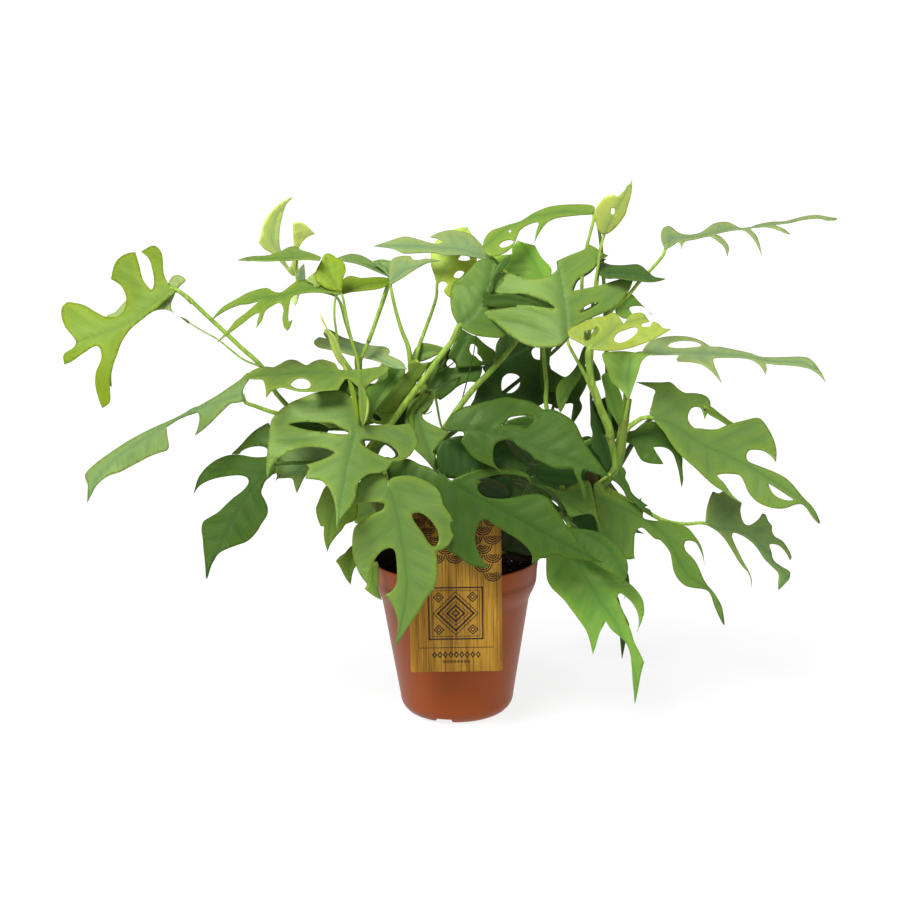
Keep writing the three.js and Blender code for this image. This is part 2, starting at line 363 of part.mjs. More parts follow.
leaf("lower_right", "right", [-58, 0.12, 0.28, 0, 0.12],
  "86,113 95,96 104,80 116,62 125,42 131,20 131,0",
  "80,146,-18 84,130 86,113",
  `80,116 66.8,113.3 66.3,109 66.3,100.4 67,94.5 70,88.5 74.8,83.4 79.7,78.2 83.8,72.3 90,63.5
  95.2,55.2 97.7,47.7 99.9,37.2! 102.3,44.5 104.7,53 109.3,62.4! 113.3,56 119.3,50.7 124.4,45.5
  127.5,37 128.5,28.5 129,18 130,8 131,-2! 133,8 134.8,20 135.6,24 137.2,30.5! 134.6,36.8 130,46.4
  127.5,55 124.4,62.3 121.4,70.8 117.8,78 117.3,80.3 119.3,83.4 123.4,81.2 128.5,76 132,69.6
  133.4,63.2 133.1,58 131.8,53.7! 134.6,60 136.8,67.4 136.9,72.7 135.6,79 131.5,85.4 126.4,90.8
  122.4,93.5 118,97 112,102 106,107 98,112 90,116`);
leaf("spread_right", "right", [-44, 0.2, 0.45, 0, 0.08],
  "100,158 120,150 140,138 152,128 160,112 168,98 182,88 194,61",
  "104,166,-28 102,162 100,158",
  `100,158 100,166.5 102,168.5 106,167 108,162 114.5,159 121,155.5 130,151.5 135.5,148 135,142.3
  142.9,139.3 150,139.2 156,137.8 161.2,136 167.3,133.5 172.4,127.4 176.5,121 178.6,114.6 179.5,108.3
  179.6,104.6! 179,110.4 176.6,116.8 173.5,122.2 170,123.8 166,123.6 165,120.2 166.5,116 170.6,111.6
  173.7,107.4 176.8,101 178.9,95.8 182,90.5 185.2,86.8 189.3,80.8 192.5,74.4 193.8,68 194.7,60!
  191.1,67 187.5,75.7 184.8,83.5 182.3,86.5 178.1,87.7 171,88.6 165.9,90.3 160.8,95.2 157.6,101.7
  156.3,109 155,115.4 151.4,120.8 147.3,125 144.3,125.5 139.2,130.3 135.1,134 132,133.6 129.5,129.4
  129,122 128.8,114.6 129.5,111.4! 125.4,110.5 120,112 112,118 104,130 101,145`);
leaf("drooping_right", "right", [-30, 0.5, 0.45, 0, 0.1],
  "181,135 190,131.5 200,130.5 212,126.5 222,117 232,105 240,95 234.5,86",
  "104,166,-28 130,150 150,138 166,135 176,135.8 181,135",
  `181,134.7 180.5,140 181,146.3 183,153.8 185,158.9! 189,157.3 192.5,158.8 196,158 200.6,154.2
  206,149.9! 205,145 205.7,139.8 207.7,135 210.7,133.3 214.8,135 218.9,138.6 221,142 223,141.2
  225,136.4 228,132.2 227.8,129 230,124.8 235.2,121.6 239.3,116.2 242.5,108.8 241.5,106.7! 240,110
  236.3,115.2 232.2,118.4 226.5,118.6 228.2,113.2 230.2,106.9 235.4,102.6 240.5,99.3 242,97.2 241.6,93
  238.5,88.9 234,84.2! 233.6,91 233.4,97 228.2,102.7 223.1,108 219,114.4 214.9,119.7 209.8,124
  203.7,127.3 200.3,127.8 199.3,125.2 201.7,118.8 204.8,112.4 207.9,106 212,98.6 214,92.3 214.3,86.5!
  213.3,93.4 211,98.6 208.4,101.3 204.8,106 199.7,114.6 194.5,123 189.4,128.9 184.3,132.6`);
leaf("under_right", "right", [-56, 0, 0.4, 0, 0],
  "85,137 100,127 112,118 123,98",
  "80,146,-18 83,142 85,137",
  `81.5,135 89,134.5 97.3,133 105.5,130.5 112,125.3 118.6,119.3 123,112 124.8,105 124,98.5 122,92.5!
  115,98 106,104 98,109 90,114 82,122`);
leaf("inner_right", "right", [-46, 0, 0.4, 0, 0],
  "60,168 76,158 92,146 106,132",
  "80,146,-18 70,160 60,168",
  `51,173 57,169 67.5,166 76.5,163 88,168.5 96,169.5 98.5,164 101,151 105,132! 102.5,138.5 98.5,144.5
  90.5,144.5 83,143 79,150 74,158 67.5,163.5 60,165.5`);
leaf("edge_right", "right", [-36, 0, 0.4, 0, 0],
  "117,175.5 122.5,166.5 131,155.5 141,144.5",
  "115,176,-32 117,175.5",
  `114.5,175.5 119,180! 121,179 123,175.5 122.5,171.5 125,166.5 127.5,160 132.5,155.5 134.5,157!
  134,154.5 139,150.5! 136.5,149.5 140.5,147.5 142.5,141.5! 137.5,145 132.5,149 128,153.5 123.5,157
  121,162 117,167 112,171 112.5,173.5`);
leaf("dark_shelf_left", "left", [8, 0, 1.4, 0, 0],
  "-84,273 -65,267 -36,253",
  "-66,244,-24 -80,266 -84,273",
  `-97,273 -93,276.5 -88,275.5 -90,279 -87.5,282 -83,280.5 -78,277 -70,274 -59,270.5 -52,269.5
  -47.5,269 -44.5,267.5 -43.5,265.5 -44.5,264 -46,264 -41.5,261.5 -36.5,259 -33.5,256 -32,253! -44,255
  -52,259 -60,261 -70,263 -79,266 -88,268 -94,269.5`);
leaf("dark_centre", "middle", [16, 0, 0.5, 0, 0],
  "-16,236 -8,248 6,250 22,252",
  "-20,236,-10 -16,236",
  `-22,236 -21,246 -16,256 -9,263 -3,267 4,262 8,256 14,255 22,254 21.5,253.5 20.5,248.5 17.5,243
  11.5,243 4.5,240 -3,234 -9,230 -10,231 -15,231.5`,
  "-4,256 -2,259.5 1,258 3,254 -2,253.5");
leaf("dark_middle", "middle", [40, 0, 0.5, 0, 0],
  "21.5,253.5 40,261.5 57,271",
  "-20,236,-10 0,244 21.5,253.5",
  `30.5,264.5 31.5,270 35,275 42,276.5 54,272.5 64,271 66.5,266 66,259 66,248.5 66,229 58,224
  31.5,224.5 13,225.5 15,230 17.5,237.5 20.5,242 23.5,248 21.5,253.5 25.5,256.5 29.5,259.5`,
  "56,264 57,266 61,267.5 63,266 63.5,258.5 61,258 57.5,259.5",
  "35,236 35.5,245 40,248.5 47,246.5 47.5,240 43,235 38,234.5");
leaf("dark_inner_right", "right", [24, 0, 0.5, 0, 0],
  "73,229 80.5,236 91.5,251.5",
  "70,205,-8 70,216 73,229",
  `62.5,252 68.5,252.5 72,248.5 76,246 80.5,245.5 84.5,247.5 90,256 95,251.5 96.5,246 94.5,238.5
  92,233.5 90,229.5 91.5,225 91.5,222 88.5,216.5 85.5,212! 84,214.5 84.5,219.5 85,223 85,226 80.5,226
  76,223.5 73.5,222.5 70.5,225.5 66,227 63.5,230.5 62.5,240`);

leaf("rolled_left", "middle", [-11, 0, 0.1, 0, 0.1],
  "-23,256 -34,243.5 -50,225",
  "-29,256,0 -25,258.5 -23,256",
  `-54,222.5 -52.5,226 -49,231 -44,237 -39,242.5 -34,248.5 -31,251.5 -30.5,257 -27,258 -21,257
  -14.5,258! -17,254.5 -22,247 -25,243.5 -27,238.5 -31,235 -36.5,229 -41,221.5 -45.5,221 -50.5,221`);
leaf("dark_fan_left", "left", [-6, 0, 0.5, 0, 0],
  "-60,218 -52,234 -38,252",
  "-66,212,-26 -64,215 -60,218",
  `-60,214 -56,221 -52,225 -46,232 -39,240 -35,246 -33,252 -36,257 -42,258 -45,253 -46,247 -53,243
  -61,239 -60,229 -63,219`);
leaf("dark_fan_middle", "middle", [10, 0, 0.4, 0, 0],
  "-27,261 -18,266 -7,266",
  "-29,256,0 -29,259 -27,261",
  "-28,259 -27,265 -22,271 -14,270.5 -5,267 -10,263 -22,258");
leaf("lime_scrap", "middle", [-8, 0, 0.3, 0, 0],
  "-24,222 -20,230 -21,235",
  "-15,222,-17 -19,220 -24,222",
  "-26,234 -22,235.5 -15,230 -16,225 -19,221 -23,220 -26,226");
leaf("hanging_right", "right", [-6, 0, 0.2, 0, 0.1],
  "95,265 88,248 77,228",
  "105,221,-25 99,245 95,265",
  "93,267 97,265.5 97,260 94,254 91,245 85,236 80,226 76,220 73,235 77,244 82,246.5 88,254");
leaf("dark_forked_right", "right", [-12, 0, 0.2, 0, 0],
  "112,178 106,198 102,215",
  "115,176,-32 112,178",
  `97,239.5! 98.5,239.5! 99,229 100,220.5 102,217 104.5,210.5 107.5,202.5 110.5,198.5 114.5,193.5
  114.5,185.5 112,177.5 109.5,175.5! 106.5,180 103.5,187 99,192 98,199 99,204 97.5,210.5 97.5,217
  97,229`);
leaf("torn_right", "right", [-6, 0.3, 0.4, 0, 0],
  "121,292 128,297 140,290",
  "105,221,-25 99.5,240 97.5,256 99,275 108,286 121,292",
  `115,292 118,297 123,303 126,304 130,300 135,295 141,289! 135,294.5 130,295.5 125,294 127,288
  121,286.5`);
leaf("far_left_back", "left", [19, -0.2, 0.6, 0, 0.05],
  "-197,312 -209,301 -225.5,291 -239.5,283.5",
  "-181,302.8,10.5 -187.5,309 -192,311.5 -197,312",
  `-195.5,319.5 -192.5,322 -188,321.5 -185,318.5 -188.5,315 -192,311 -194,306.5 -196,302 -195.5,297.5
  -194,295! -198,297.5 -203.5,298 -208.5,297 -215.5,293 -223.5,287 -230.5,283.5 -236.5,271.5
  -239,262.5 -240.5,250.5 -240.5,243.5! -243,245 -243.5,259.5 -243.5,274.5 -245,283.5 -242.5,292
  -240.5,294.5 -235.5,296.5 -228.5,303.5 -225,305.5 -214.5,305.5 -204,311 -198,315.5`);
leaf("dark_gap_right", "right", [8, 0, 0.3, 0, 0],
  "72,297 62,298 48,300",
  "97,262,-14 90,280 80,292 72,297",
  `43,307.5 48.5,307 56.5,305 64,302.5 72,298.5 74.5,293.5 71,289.5 62,289 52,289.5 44,290.5 41,296
  41,300 42,303`);
leaf("dark_fold", "middle", [22, 0, 0.4, 0, 0],
  "0.5,256.5 4.5,265 11,278",
  "-20,236,-10 -16,246 0.5,256.5",
  `5,282.5 8,280.5 14.5,276.5 18,275 22,271 26.5,267.5 29.5,265.5 31,262.5 30,259 25.5,256 21.5,254.5
  11.5,253.5 2.5,253.5 3,256.5 0.5,260.5 -2.5,261 -1.5,265 2.5,273`,
  "13.5,270 16.5,269.5 18,266.5 18,263 20,261 21.5,257.5 19,258.5 17,261 14,262.5 12.5,265.5");
leaf("dark_lobe_right", "right", [27, 0, 0.5, 0, 0],
  "69,249 68.5,259 67,268",
  "70,205,-8 66,226 66.4,239 69,249",
  `63,271.5 71,271.5 72.5,268.5 70,265 69,259 69,252.5 73,249 77.5,246 81.5,244 78,236 70.5,234.5
  63.5,237.5 62,250.5 62,261.5`);
leaf("chip_right", "right", [-4, 0, 0.3, 0, 0],
  "99.5,246 101,253",
  "97.5,250,-14 98.5,240 99.5,246",
  "97,263 99.5,257.5 102,253 104.5,247 105,243! 102,242 98.5,242 96.5,246.5 96,257.5");
leaf("deep_chip_right", "right", [-14, 0, 0.2, 0, 0],
  "114.5,206.5 112.5,215.5 108.5,226",
  "112,200,-28 115.5,201 114.5,206.5",
  "104.5,228 110.5,227.5 114,220 120,213 119.5,206.5 117,202.5 113,204 108.5,214.5 106,222.5");
leaf("deep_centre", "middle", [-20, 0, 0.3, 0, 0],
  "17,168 26,164 36,160",
  "-9,175,-12 4,173 17,168",
  "14,162 13,172 20,179 32,178 42,170 41,158 30,152 19,154");
leaf("deep_right", "right", [2, 0, 0.2, 0, 0],
  "101,160 90.5,163 72.5,167",
  "80,146,-18 102,153.5 101,160",
  `54.5,173 65,174 76.5,172 90.5,169.5 101,165.5 103,161.5 101,153.5 103.5,142.5 107.5,132 116.5,122.5
  125,114 123.5,111 114,118.5 101,126.5 88,133 80.5,138 75,146 70,151.5 63.5,159.5 57,166`,
  "69,158 71.5,159.5 75,158.5 78,155 78,152.5 75,151 72.5,152.5 70,155.5");
leaf("slot_left", "left", [-2, 0, 0.2, 0, 0],
  "-53,152.5 -60,150 -68,146",
  "-57,155,-14 -53,152.5",
  `-74.5,157 -66.5,157 -58,157.5 -49,156.5 -48,150.5 -53,147 -63.5,143.5 -68,141 -71,140.5 -72,143.5
  -73.5,151`);
leaf("dark_fill_left", "left", [14, 0, 0.5, 0, 0],
  "-57,227 -50,238 -39,251",
  "-66,212,-26 -68,222 -57,227",
  `-63,238 -58,241 -53.5,244 -52,247.5 -51.5,252 -51,255 -50,257 -48,256.5 -43.5,254.5 -40,253.5
  -38.5,254.5 -36.5,253.5 -33.5,250 -30,247.5 -27,242.5 -31,232.5 -37.5,224.5 -43.5,218.5 -45.5,213.5
  -54.5,213.5 -57.5,215 -62.5,213.5 -61,221 -60.5,227 -61.5,232`,
  "-57,221 -54.5,221 -51,218 -50.5,216 -54.5,216 -56.5,218");
leaf("bar_right", "right", [-12, 0.3, 0.7, 0, 0],
  "182.5,220 191,214.5 199.5,207",
  "178,222,-13 182.5,220",
  "178,223.5 183,222.5 189.5,217.5 196,212.5 201,208.5 200.5,204.5 194.5,209 187.5,213.5 181,217.5");
leaf("sheath_left", "left", [-26, 0, 0.05, 0, 0],
  "-77,257 -83,274 -88,281.5",
  "-67,231,-25 -73.5,249.5 -77,257",
  `-92.5,294.5! -91.5,293 -89,287.5 -87,282.5 -85,280.5 -82,277 -80,272 -77.5,264.5 -76.5,259
  -73.5,251.5 -75.5,251.5 -78,256 -80.5,259 -84,266.5 -85.5,272 -87,277.5 -89,279.5 -89.5,281.5
  -88,282.5 -90.5,287.5`);
leaf("shoots_left", "left", [-6, 0, 0.3, 0, 0],
  "-106.5,311 -105,318.5 -103.5,324.5",
  "-92,313,-15 -100,311 -106.5,311",
  `-108,318 -106.5,323 -105.5,325.5 -102,329! -101.5,323 -101.5,318 -102.5,314.5 -106,306.5 -107.5,302
  -109,299! -111.5,302.5 -112.5,306 -110.5,311`);
leaf("flap_left", "left", [-14, 0, 0.5, 0, 0],
  "-91.5,314.5 -95,316.5 -98.5,318",
  "-92,313,-15 -91.5,314.5",
  "-101,317.5 -98.5,320 -94,323! -92.5,320 -90.5,314.5 -92.5,312.5 -98,315.5");

// Leaves behind: copies of the leaves above, shrunk about their own middle and set back, each with its own stalk.
// name, leaf copied, scale, shift [x, z], depth, stem, root of its stalk.
const BEHIND = [
  ["back_broad_left", "broad_left", 0.9, [2, 0], [72, -0.9, -0.4, 10, -0.15], "left", "-64,185,-20"],
  ["back_hooked_left", "hooked_left", 1, [0, 0], [30, -0.5, -0.5, 10, -0.2], "left", "-60,167,-17"],
  ["back_level_left", "level_left", 0.95, [4, 2], [62, -0.2, -1.8, 0, 0], "left", "-66,240,-24"],
  ["back_front_left", "front_left", 0.84, [0, 10], [88, 0.5, -0.3, 10, -0.15], "left", "-46,130,-7"],
  ["back_front_right", "front_right", 0.9, [2, -4], [76, 0.3, -0.5, 12, -0.15], "middle", "-4,140,0"],
  ["back_centre", "centre", 0.88, [18, -6], [96, 0.5, -0.6, 10, -0.15], "middle", "-9,175,-12"],
  ["back_top", "broad_top", 0.9, [2, 0], [90, 0.2, -0.8, 0, -0.1], "middle", "-18,192,-16"],
  ["back_folded", "folded_green", 0.84, [2, 0], [56, -0.3, -0.8, 0, -0.1], "middle", "-20,236,-10"],
  ["back_broad_right", "broad_right", 1, [0, 0], [46, 0.5, -0.5, 12, -0.2], "right", "115,176,-32"],
  ["back_spread_right", "spread_right", 1, [0, 0], [34, 0.4, -0.3, 8, -0.15], "right", "80,146,-18"],
  ["back_lower_right", "lower_right", 0.8, [-6, 22], [70, -0.4, -0.2, 0, -0.15], "right", "46,125,-6"],
  ["back_arching", "arching_top", 1, [0, 0], [92, -0.2, -0.8, 0, 0], "right", "112,200,-28"],
  ["far_back_left", "broad_left", 0.72, [34, -36], [132, 0.3, -0.6, 10, -0.15], "left", "-46,130,-7"],
  ["far_back_right", "front_right", 0.8, [44, 14], [160, 0.4, -0.4, 10, -0.15], "middle", "-4,140,0"],
];

const shrunk = (points, centre, scale, [across, up]) => points.map(({ x, z, corner }) => ({
  x: centre.x + (x - centre.x) * scale + across,
  z: centre.z + (z - centre.z) * scale + up,
  corner,
}));

for (const [name, copied, scale, shift, depth, stem, root] of BEHIND) {
  const source = LEAVES.find((one) => one.name === copied);
  const total = source.edge.reduce((sum, p) => ({ x: sum.x + p.x, z: sum.z + p.z }), { x: 0, z: 0 });
  const centre = { x: total.x / source.edge.length, z: total.z / source.edge.length };
  const rib = shrunk(source.rib, centre, scale, shift);
  LEAVES.push({
    name,
    stem,
    depth,
    rib,
    stalk: [...drawn(root), rib[0]],
    edge: shrunk(source.edge, centre, scale, shift),
    holes: source.holes.map((hole) => shrunk(hole, centre, scale, shift)),
    drop: BLADE.dropBehind,
  });
}

// ---------------------------------------------------------------- solids

const joined = (solids) => solids.reduce((whole, next) => whole.add(next));

// A closed geometry as a manifold-3d solid.
function solidOf(geometry) {
  const bare = geometry.index ? geometry.toNonIndexed() : geometry.clone();
  bare.deleteAttribute("normal");
  bare.deleteAttribute("uv");
  const merged = mergeVertices(bare, 1e-4);
  return new wasm.Manifold(new wasm.Mesh({
    numProp: 3,
    vertProperties: merged.attributes.position.array,
    triVerts: new Uint32Array(merged.index.array),
  }));
}

function meshOf(name, solid, material) {
  const { vertProperties, triVerts } = solid.getMesh();
  const geometry = new THREE.BufferGeometry();
  geometry.setAttribute("position", new THREE.BufferAttribute(vertProperties, 3));
  geometry.setIndex(new THREE.BufferAttribute(triVerts, 1));
  geometry.computeVertexNormals();
  const mesh = new THREE.Mesh(geometry, material);
  mesh.name = name;
  return mesh;
}

// ---------------------------------------------------------------- leaf blades

const cross = (a, b, c) => (b.x - a.x) * (c.z - a.z) - (b.z - a.z) * (c.x - a.x);

function distanceToRib(p, rib) {
  let nearest = Infinity;
  for (let i = 1; i < rib.length; i++) {
    const a = rib[i - 1];
    const dx = rib[i].x - a.x;
    const dz = rib[i].z - a.z;
    const along = ((p.x - a.x) * dx + (p.z - a.z) * dz) / (dx * dx + dz * dz);
    const t = THREE.MathUtils.clamp(along, 0, 1);
    nearest = Math.min(nearest, Math.hypot(p.x - a.x - t * dx, p.z - a.z - t * dz));
  }
  return nearest;
}

// Depth of a drawn point of a leaf: a leaning plane that curls towards the tip and folds along the rib.
function depthAt(p, { rib, depth: [base, swing, lean, tipShift, fold] }) {
  const start = rib[0];
  const end = rib[rib.length - 1];
  const dx = end.x - start.x;
  const dz = end.z - start.z;
  const along = ((p.x - start.x) * dx + (p.z - start.z) * dz) / (dx * dx + dz * dz);
  const t = THREE.MathUtils.clamp(along, 0, 1);
  return base + swing * (p.x - start.x) + lean * (p.z - start.z) + tipShift * t * t
    + fold * distanceToRib(p, rib);
}

// Puts a point into the triangle that holds it, as three triangles.
function insertPoint(points, faces, p) {
  const at = faces.findIndex(([a, b, c]) => cross(points[a], points[b], p) > 1e-6
    && cross(points[b], points[c], p) > 1e-6 && cross(points[c], points[a], p) > 1e-6);
  if (at < 0) return;
  const [a, b, c] = faces[at];
  const n = points.push(p) - 1;
  faces.splice(at, 1, [a, b, n], [b, c, n], [c, a, n]);
}

// True where the fourth point lies inside the circle through a counterclockwise triangle.
function inCircle(a, b, c, d) {
  const rows = [a, b, c].map((q) => {
    const x = q.x - d.x;
    const z = q.z - d.z;
    return [x, z, x * x + z * z];
  });
  const [[ax, az, as], [bx, bz, bs], [cx, cz, cs]] = rows;
  return ax * (bz * cs - bs * cz) - az * (bx * cs - bs * cx) + as * (bx * cz - bz * cx) > 1e-7;
}

// Swaps the shared side of two neighbouring triangles wherever that gives rounder ones.
function relax(points, faces) {
  for (let round = 0, swapped = true; swapped && round < 60; round++) {
    swapped = false;
    const sides = new Map();
    faces.forEach((face, f) => face.forEach((a, i) => sides.set(`${a},${face[(i + 1) % 3]}`, [f, i])));
    const touched = new Set();
    for (const [key, [f, i]] of sides) {
      const [a, b] = key.split(",").map(Number);
      const other = sides.get(`${b},${a}`);
      if (!other || a > b || touched.has(f) || touched.has(other[0])) continue;
      const c = faces[f][(i + 2) % 3];
      const d = faces[other[0]][(other[1] + 2) % 3];
      const [pa, pb, pc, pd] = [a, b, c, d].map((n) => points[n]);
      if (cross(pc, pd, pb) <= 1e-6 || cross(pd, pc, pa) <= 1e-6 || !inCircle(pa, pb, pc, pd)) continue;
      faces[f] = [c, d, b];
      faces[other[0]] = [d, c, a];
      touched.add(f).add(other[0]);
      swapped = true;
    }
  }
}

// An outline without the points that lie almost on the line between their neighbours; corners stay.
function thinned(points, tolerance) {
  const kept = [points[0]];
  for (let first = 0; first < points.length - 1;) {
    let last = first + 1;
    while (last + 1 < points.length && !points[last].corner) {
      const line = [points[first], points[last + 1]];
      if (points.slice(first + 1, last + 1).some((p) => distanceToRib(p, line) >= tolerance)) break;
      last++;
    }
    kept.push(points[last]);
    first = last;
  }
  return kept;
}

function triangulated({ edge, holes, rib, drop }) {
  const toVector = ({ x, z }) => new THREE.Vector2(x, z);
  const contour = thinned(edge, drop).map(toVector);
  if (THREE.ShapeUtils.isClockWise(contour)) contour.reverse();
  const cuts = holes.map((hole) => {
    const cut = hole.map(toVector);
    return THREE.ShapeUtils.isClockWise(cut) ? cut : cut.reverse();
  });
  const faces = THREE.ShapeUtils.triangulateShape(contour, cuts);
  const points = [contour, ...cuts].flat().map(({ x, y }) => ({ x, z: y }));
  const upright = faces.map(([a, b, c]) => (cross(points[a], points[b], points[c]) > 0 ? [a, b, c] : [a, c, b]));
  rib.slice(1, -1).forEach((p) => insertPoint(points, upright, p));
  relax(points, upright);
  return { points, faces: upright };
}

// A thin closed blade: the drawn outline at its depths, with the same triangles on both faces.
function bladeSolid(one) {
  const { points, faces } = triangulated(one);
  const middle = points.map((p) => lift(p.x, p.z, depthAt(p, one)));
  const normals = middle.map(() => new THREE.Vector3());
  const open = new Map();
  for (const face of faces) {
    const [a, b, c] = face.map((n) => middle[n]);
    const area = b.clone().sub(a).cross(c.clone().sub(a));
    face.forEach((n, i) => {
      const next = face[(i + 1) % 3];
      normals[n].add(area);
      if (!open.delete(`${next},${n}`)) open.set(`${n},${next}`, [n, next]);
    });
  }
  const count = middle.length;
  const sheets = [1, -1].flatMap((side) => middle.map((p, n) => p.clone()
    .addScaledVector(normals[n].clone().normalize(), side * BLADE.thickness / 2)));
  const index = faces.flatMap(([a, b, c]) => [a, b, c, c + count, b + count, a + count]);
  for (const [a, b] of open.values()) index.push(b, a, a + count, b, a + count, b + count);
  const geometry = new THREE.BufferGeometry().setFromPoints(sheets);
  geometry.setIndex(index);
  return solidOf(geometry);
}

// ---------------------------------------------------------------- stems and stalks

function tubeSolid(points, { radius, sides, stepLength }) {
  const path = new THREE.CatmullRomCurve3(points, false, "centripetal");
  const section = new THREE.Shape(Array.from({ length: sides }, (_, i) => {
    const angle = (2 * Math.PI * i) / sides;
    return new THREE.Vector2(radius * Math.cos(angle), radius * Math.sin(angle));
  }));
  const steps = Math.max(2, Math.ceil(path.getLength() / stepLength));
  return solidOf(new THREE.ExtrudeGeometry(section, { steps, extrudePath: path, bevelEnabled: false }));
}

// A stalk runs from its root on the stem to the leaf's base, and on along the rib inside the blade.
function stalkSolid(one) {
  const { stalk, rib } = one;
  const lengths = [0];
  for (let i = 1; i < stalk.length; i++) {
    lengths.push(lengths[i - 1] + Math.hypot(stalk[i].x - stalk[i - 1].x, stalk[i].z - stalk[i - 1].z));
  }
  const total = lengths[lengths.length - 1];
  const rootDepth = stalk[0].y;
  const baseDepth = depthAt(rib[0], one);
  const points = stalk.map((p, i) => lift(p.x, p.z, rootDepth + (baseDepth - rootDepth) * lengths[i] / total));
  const [from, to] = rib;
  const part = Math.min(0.9, STALK.sunk / Math.hypot(to.x - from.x, to.z - from.z));
  const inside = { x: from.x + (to.x - from.x) * part, z: from.z + (to.z - from.z) * part };
  points.push(lift(inside.x, inside.z, depthAt(inside, one)));
  return tubeSolid(points, STALK);
}

function stemSolid(text) {
  return tubeSolid(drawn(text).map(({ x, z, y }) => lift(x, z, y)), STEM);
}

function leafyStem(name) {
  const grown = LEAVES.filter((one) => one.stem === name);
  return joined([...STEMS[name].map(stemSolid), ...grown.map(stalkSolid), ...grown.map(bladeSolid)]);
}

// ---------------------------------------------------------------- pot, soil and label

function latheSolid(profile, segments) {
  const geometry = new THREE.LatheGeometry(profile.map(([r, z]) => new THREE.Vector2(r, z)), segments);
  geometry.rotateX(Math.PI / 2);
  return solidOf(geometry);
}

// Outer radius of the pot's wall between the heel and the neck.
function wallRadius(z) {
  const part = (z - POT.heelHeight) / (POT.neckHeight - POT.heelHeight);
  return POT.heelRadius + part * (POT.neckRadius - POT.heelRadius);
}

function potSolid() {
  const { rimRadius, height, bandFoot, neckHeight, neckRadius, footRadius, heelHeight, wall, floor } = POT;
  const outside = [
    [0, 0],
    [footRadius, 0],
    [footRadius + 4.6, 2.2],
    [footRadius + 6.7, 5.4],
    [wallRadius(heelHeight), heelHeight],
    [neckRadius, neckHeight],
    [neckRadius + 1, neckHeight + 3.5],
    [neckRadius + 3.6, neckHeight + 8],
    [rimRadius - 1.5, bandFoot],
    [rimRadius, height - 1.2],
  ];
  const lip = [[rimRadius - 0.5, height - 0.2], [rimRadius - wall, height]];
  const inside = [
    [rimRadius - 1.5 - wall, bandFoot],
    [neckRadius - wall + 0.6, neckHeight + 3],
    [wallRadius(heelHeight) - wall, heelHeight],
    [footRadius + 1, floor],
    [0, floor],
  ];
  const { count, width, height: notchHeight, first, inner } = POT.notch;
  const notches = Array.from({ length: count }, (_, i) => {
    const notch = new THREE.BoxGeometry(rimRadius, width, 2 * notchHeight);
    notch.translate(inner + rimRadius / 2, 0, 0);
    notch.rotateZ(THREE.MathUtils.degToRad(first + (360 * i) / count));
    return solidOf(notch);
  });
  return latheSolid([...outside, ...lip, ...inside], POT.segments).subtract(joined(notches));
}

function soilSolid() {
  const gap = POT.wall + SOIL.clearance;
  const { top, mound } = SOIL;
  return latheSolid([
    [0, POT.floor + SOIL.clearance],
    [POT.footRadius, POT.floor + SOIL.clearance],
    [wallRadius(POT.heelHeight + 2) - gap, POT.heelHeight + 2],
    [wallRadius(POT.neckHeight) - gap - 0.4, POT.neckHeight],
    [POT.rimRadius - 1.5 - gap - 2, POT.bandFoot - 1.5],
    [POT.rimRadius - 1.3 - gap, top - 2],
    [POT.rimRadius - 6, top],
    [POT.rimRadius * 0.6, top + mound * 0.6],
    [POT.rimRadius * 0.3, top + mound],
    [0, top + mound],
  ], POT.segments);
}

// A plain round hole round the foot of each stem.
function stemHole(text) {
  const [root] = drawn(text).map(({ x, z, y }) => lift(x, z, y));
  const foot = root.z - SOIL.stemClearance;
  const radius = STEM.radius + SOIL.stemClearance;
  const hole = new THREE.CylinderGeometry(radius + 1, radius, POT.height - foot, 16);
  hole.rotateX(Math.PI / 2);
  hole.translate(root.x, root.y, (POT.height + foot) / 2);
  return solidOf(hole);
}

const block = (x0, x1, y0, y1, z0, z1) => {
  const box = new THREE.BoxGeometry(x1 - x0, y1 - y0, z1 - z0);
  box.translate((x0 + x1) / 2, (y0 + y1) / 2, (z0 + z1) / 2);
  return solidOf(box);
};

function labelTongue(extra) {
  const half = LABEL.tongueWidth / 2 + extra;
  const { tongueCentre, tongueFront, tongueFoot, thickness } = LABEL;
  return block(tongueCentre - half, tongueCentre + half, tongueFront - extra,
    tongueFront + thickness + extra, tongueFoot - extra, POT.height + LABEL.bridge);
}

function labelSolid() {
  const { left, right, bottom, top, front, thickness, tongueWidth, tongueCentre, tongueFront, bridge } = LABEL;
  const card = block(left, right, front, front + thickness, bottom, top);
  const strip = block(tongueCentre - tongueWidth / 2, tongueCentre + tongueWidth / 2, front + thickness / 2,
    tongueFront + thickness, POT.height + 0.6, POT.height + bridge);
  return joined([card, strip, labelTongue(0)]);
}

// ---------------------------------------------------------------- assembly

const plastic = new THREE.MeshStandardMaterial({ color: 0x8a4a2c, roughness: 0.55, metalness: 0 });
const earth = new THREE.MeshStandardMaterial({ color: 0x1d1612, roughness: 1, metalness: 0 });
const card = new THREE.MeshStandardMaterial({ color: 0xb98a35, roughness: 0.7, metalness: 0 });
const foliage = new THREE.MeshStandardMaterial({ color: 0x5c8f35, roughness: 0.5, metalness: 0 });

const soil = soilSolid()
  .subtract(joined(Object.values(STEMS).map(([root]) => stemHole(root))))
  .subtract(labelTongue(LABEL.slotClearance));

const plant = new THREE.Group();
plant.add(meshOf("pot", potSolid(), plastic));
plant.add(meshOf("soil", soil, earth));
plant.add(meshOf("label", labelSolid(), card));
for (const name of Object.keys(STEMS)) {
  plant.add(meshOf(`leafy_stem_${name}`, leafyStem(name), foliage));
}

export default plant;
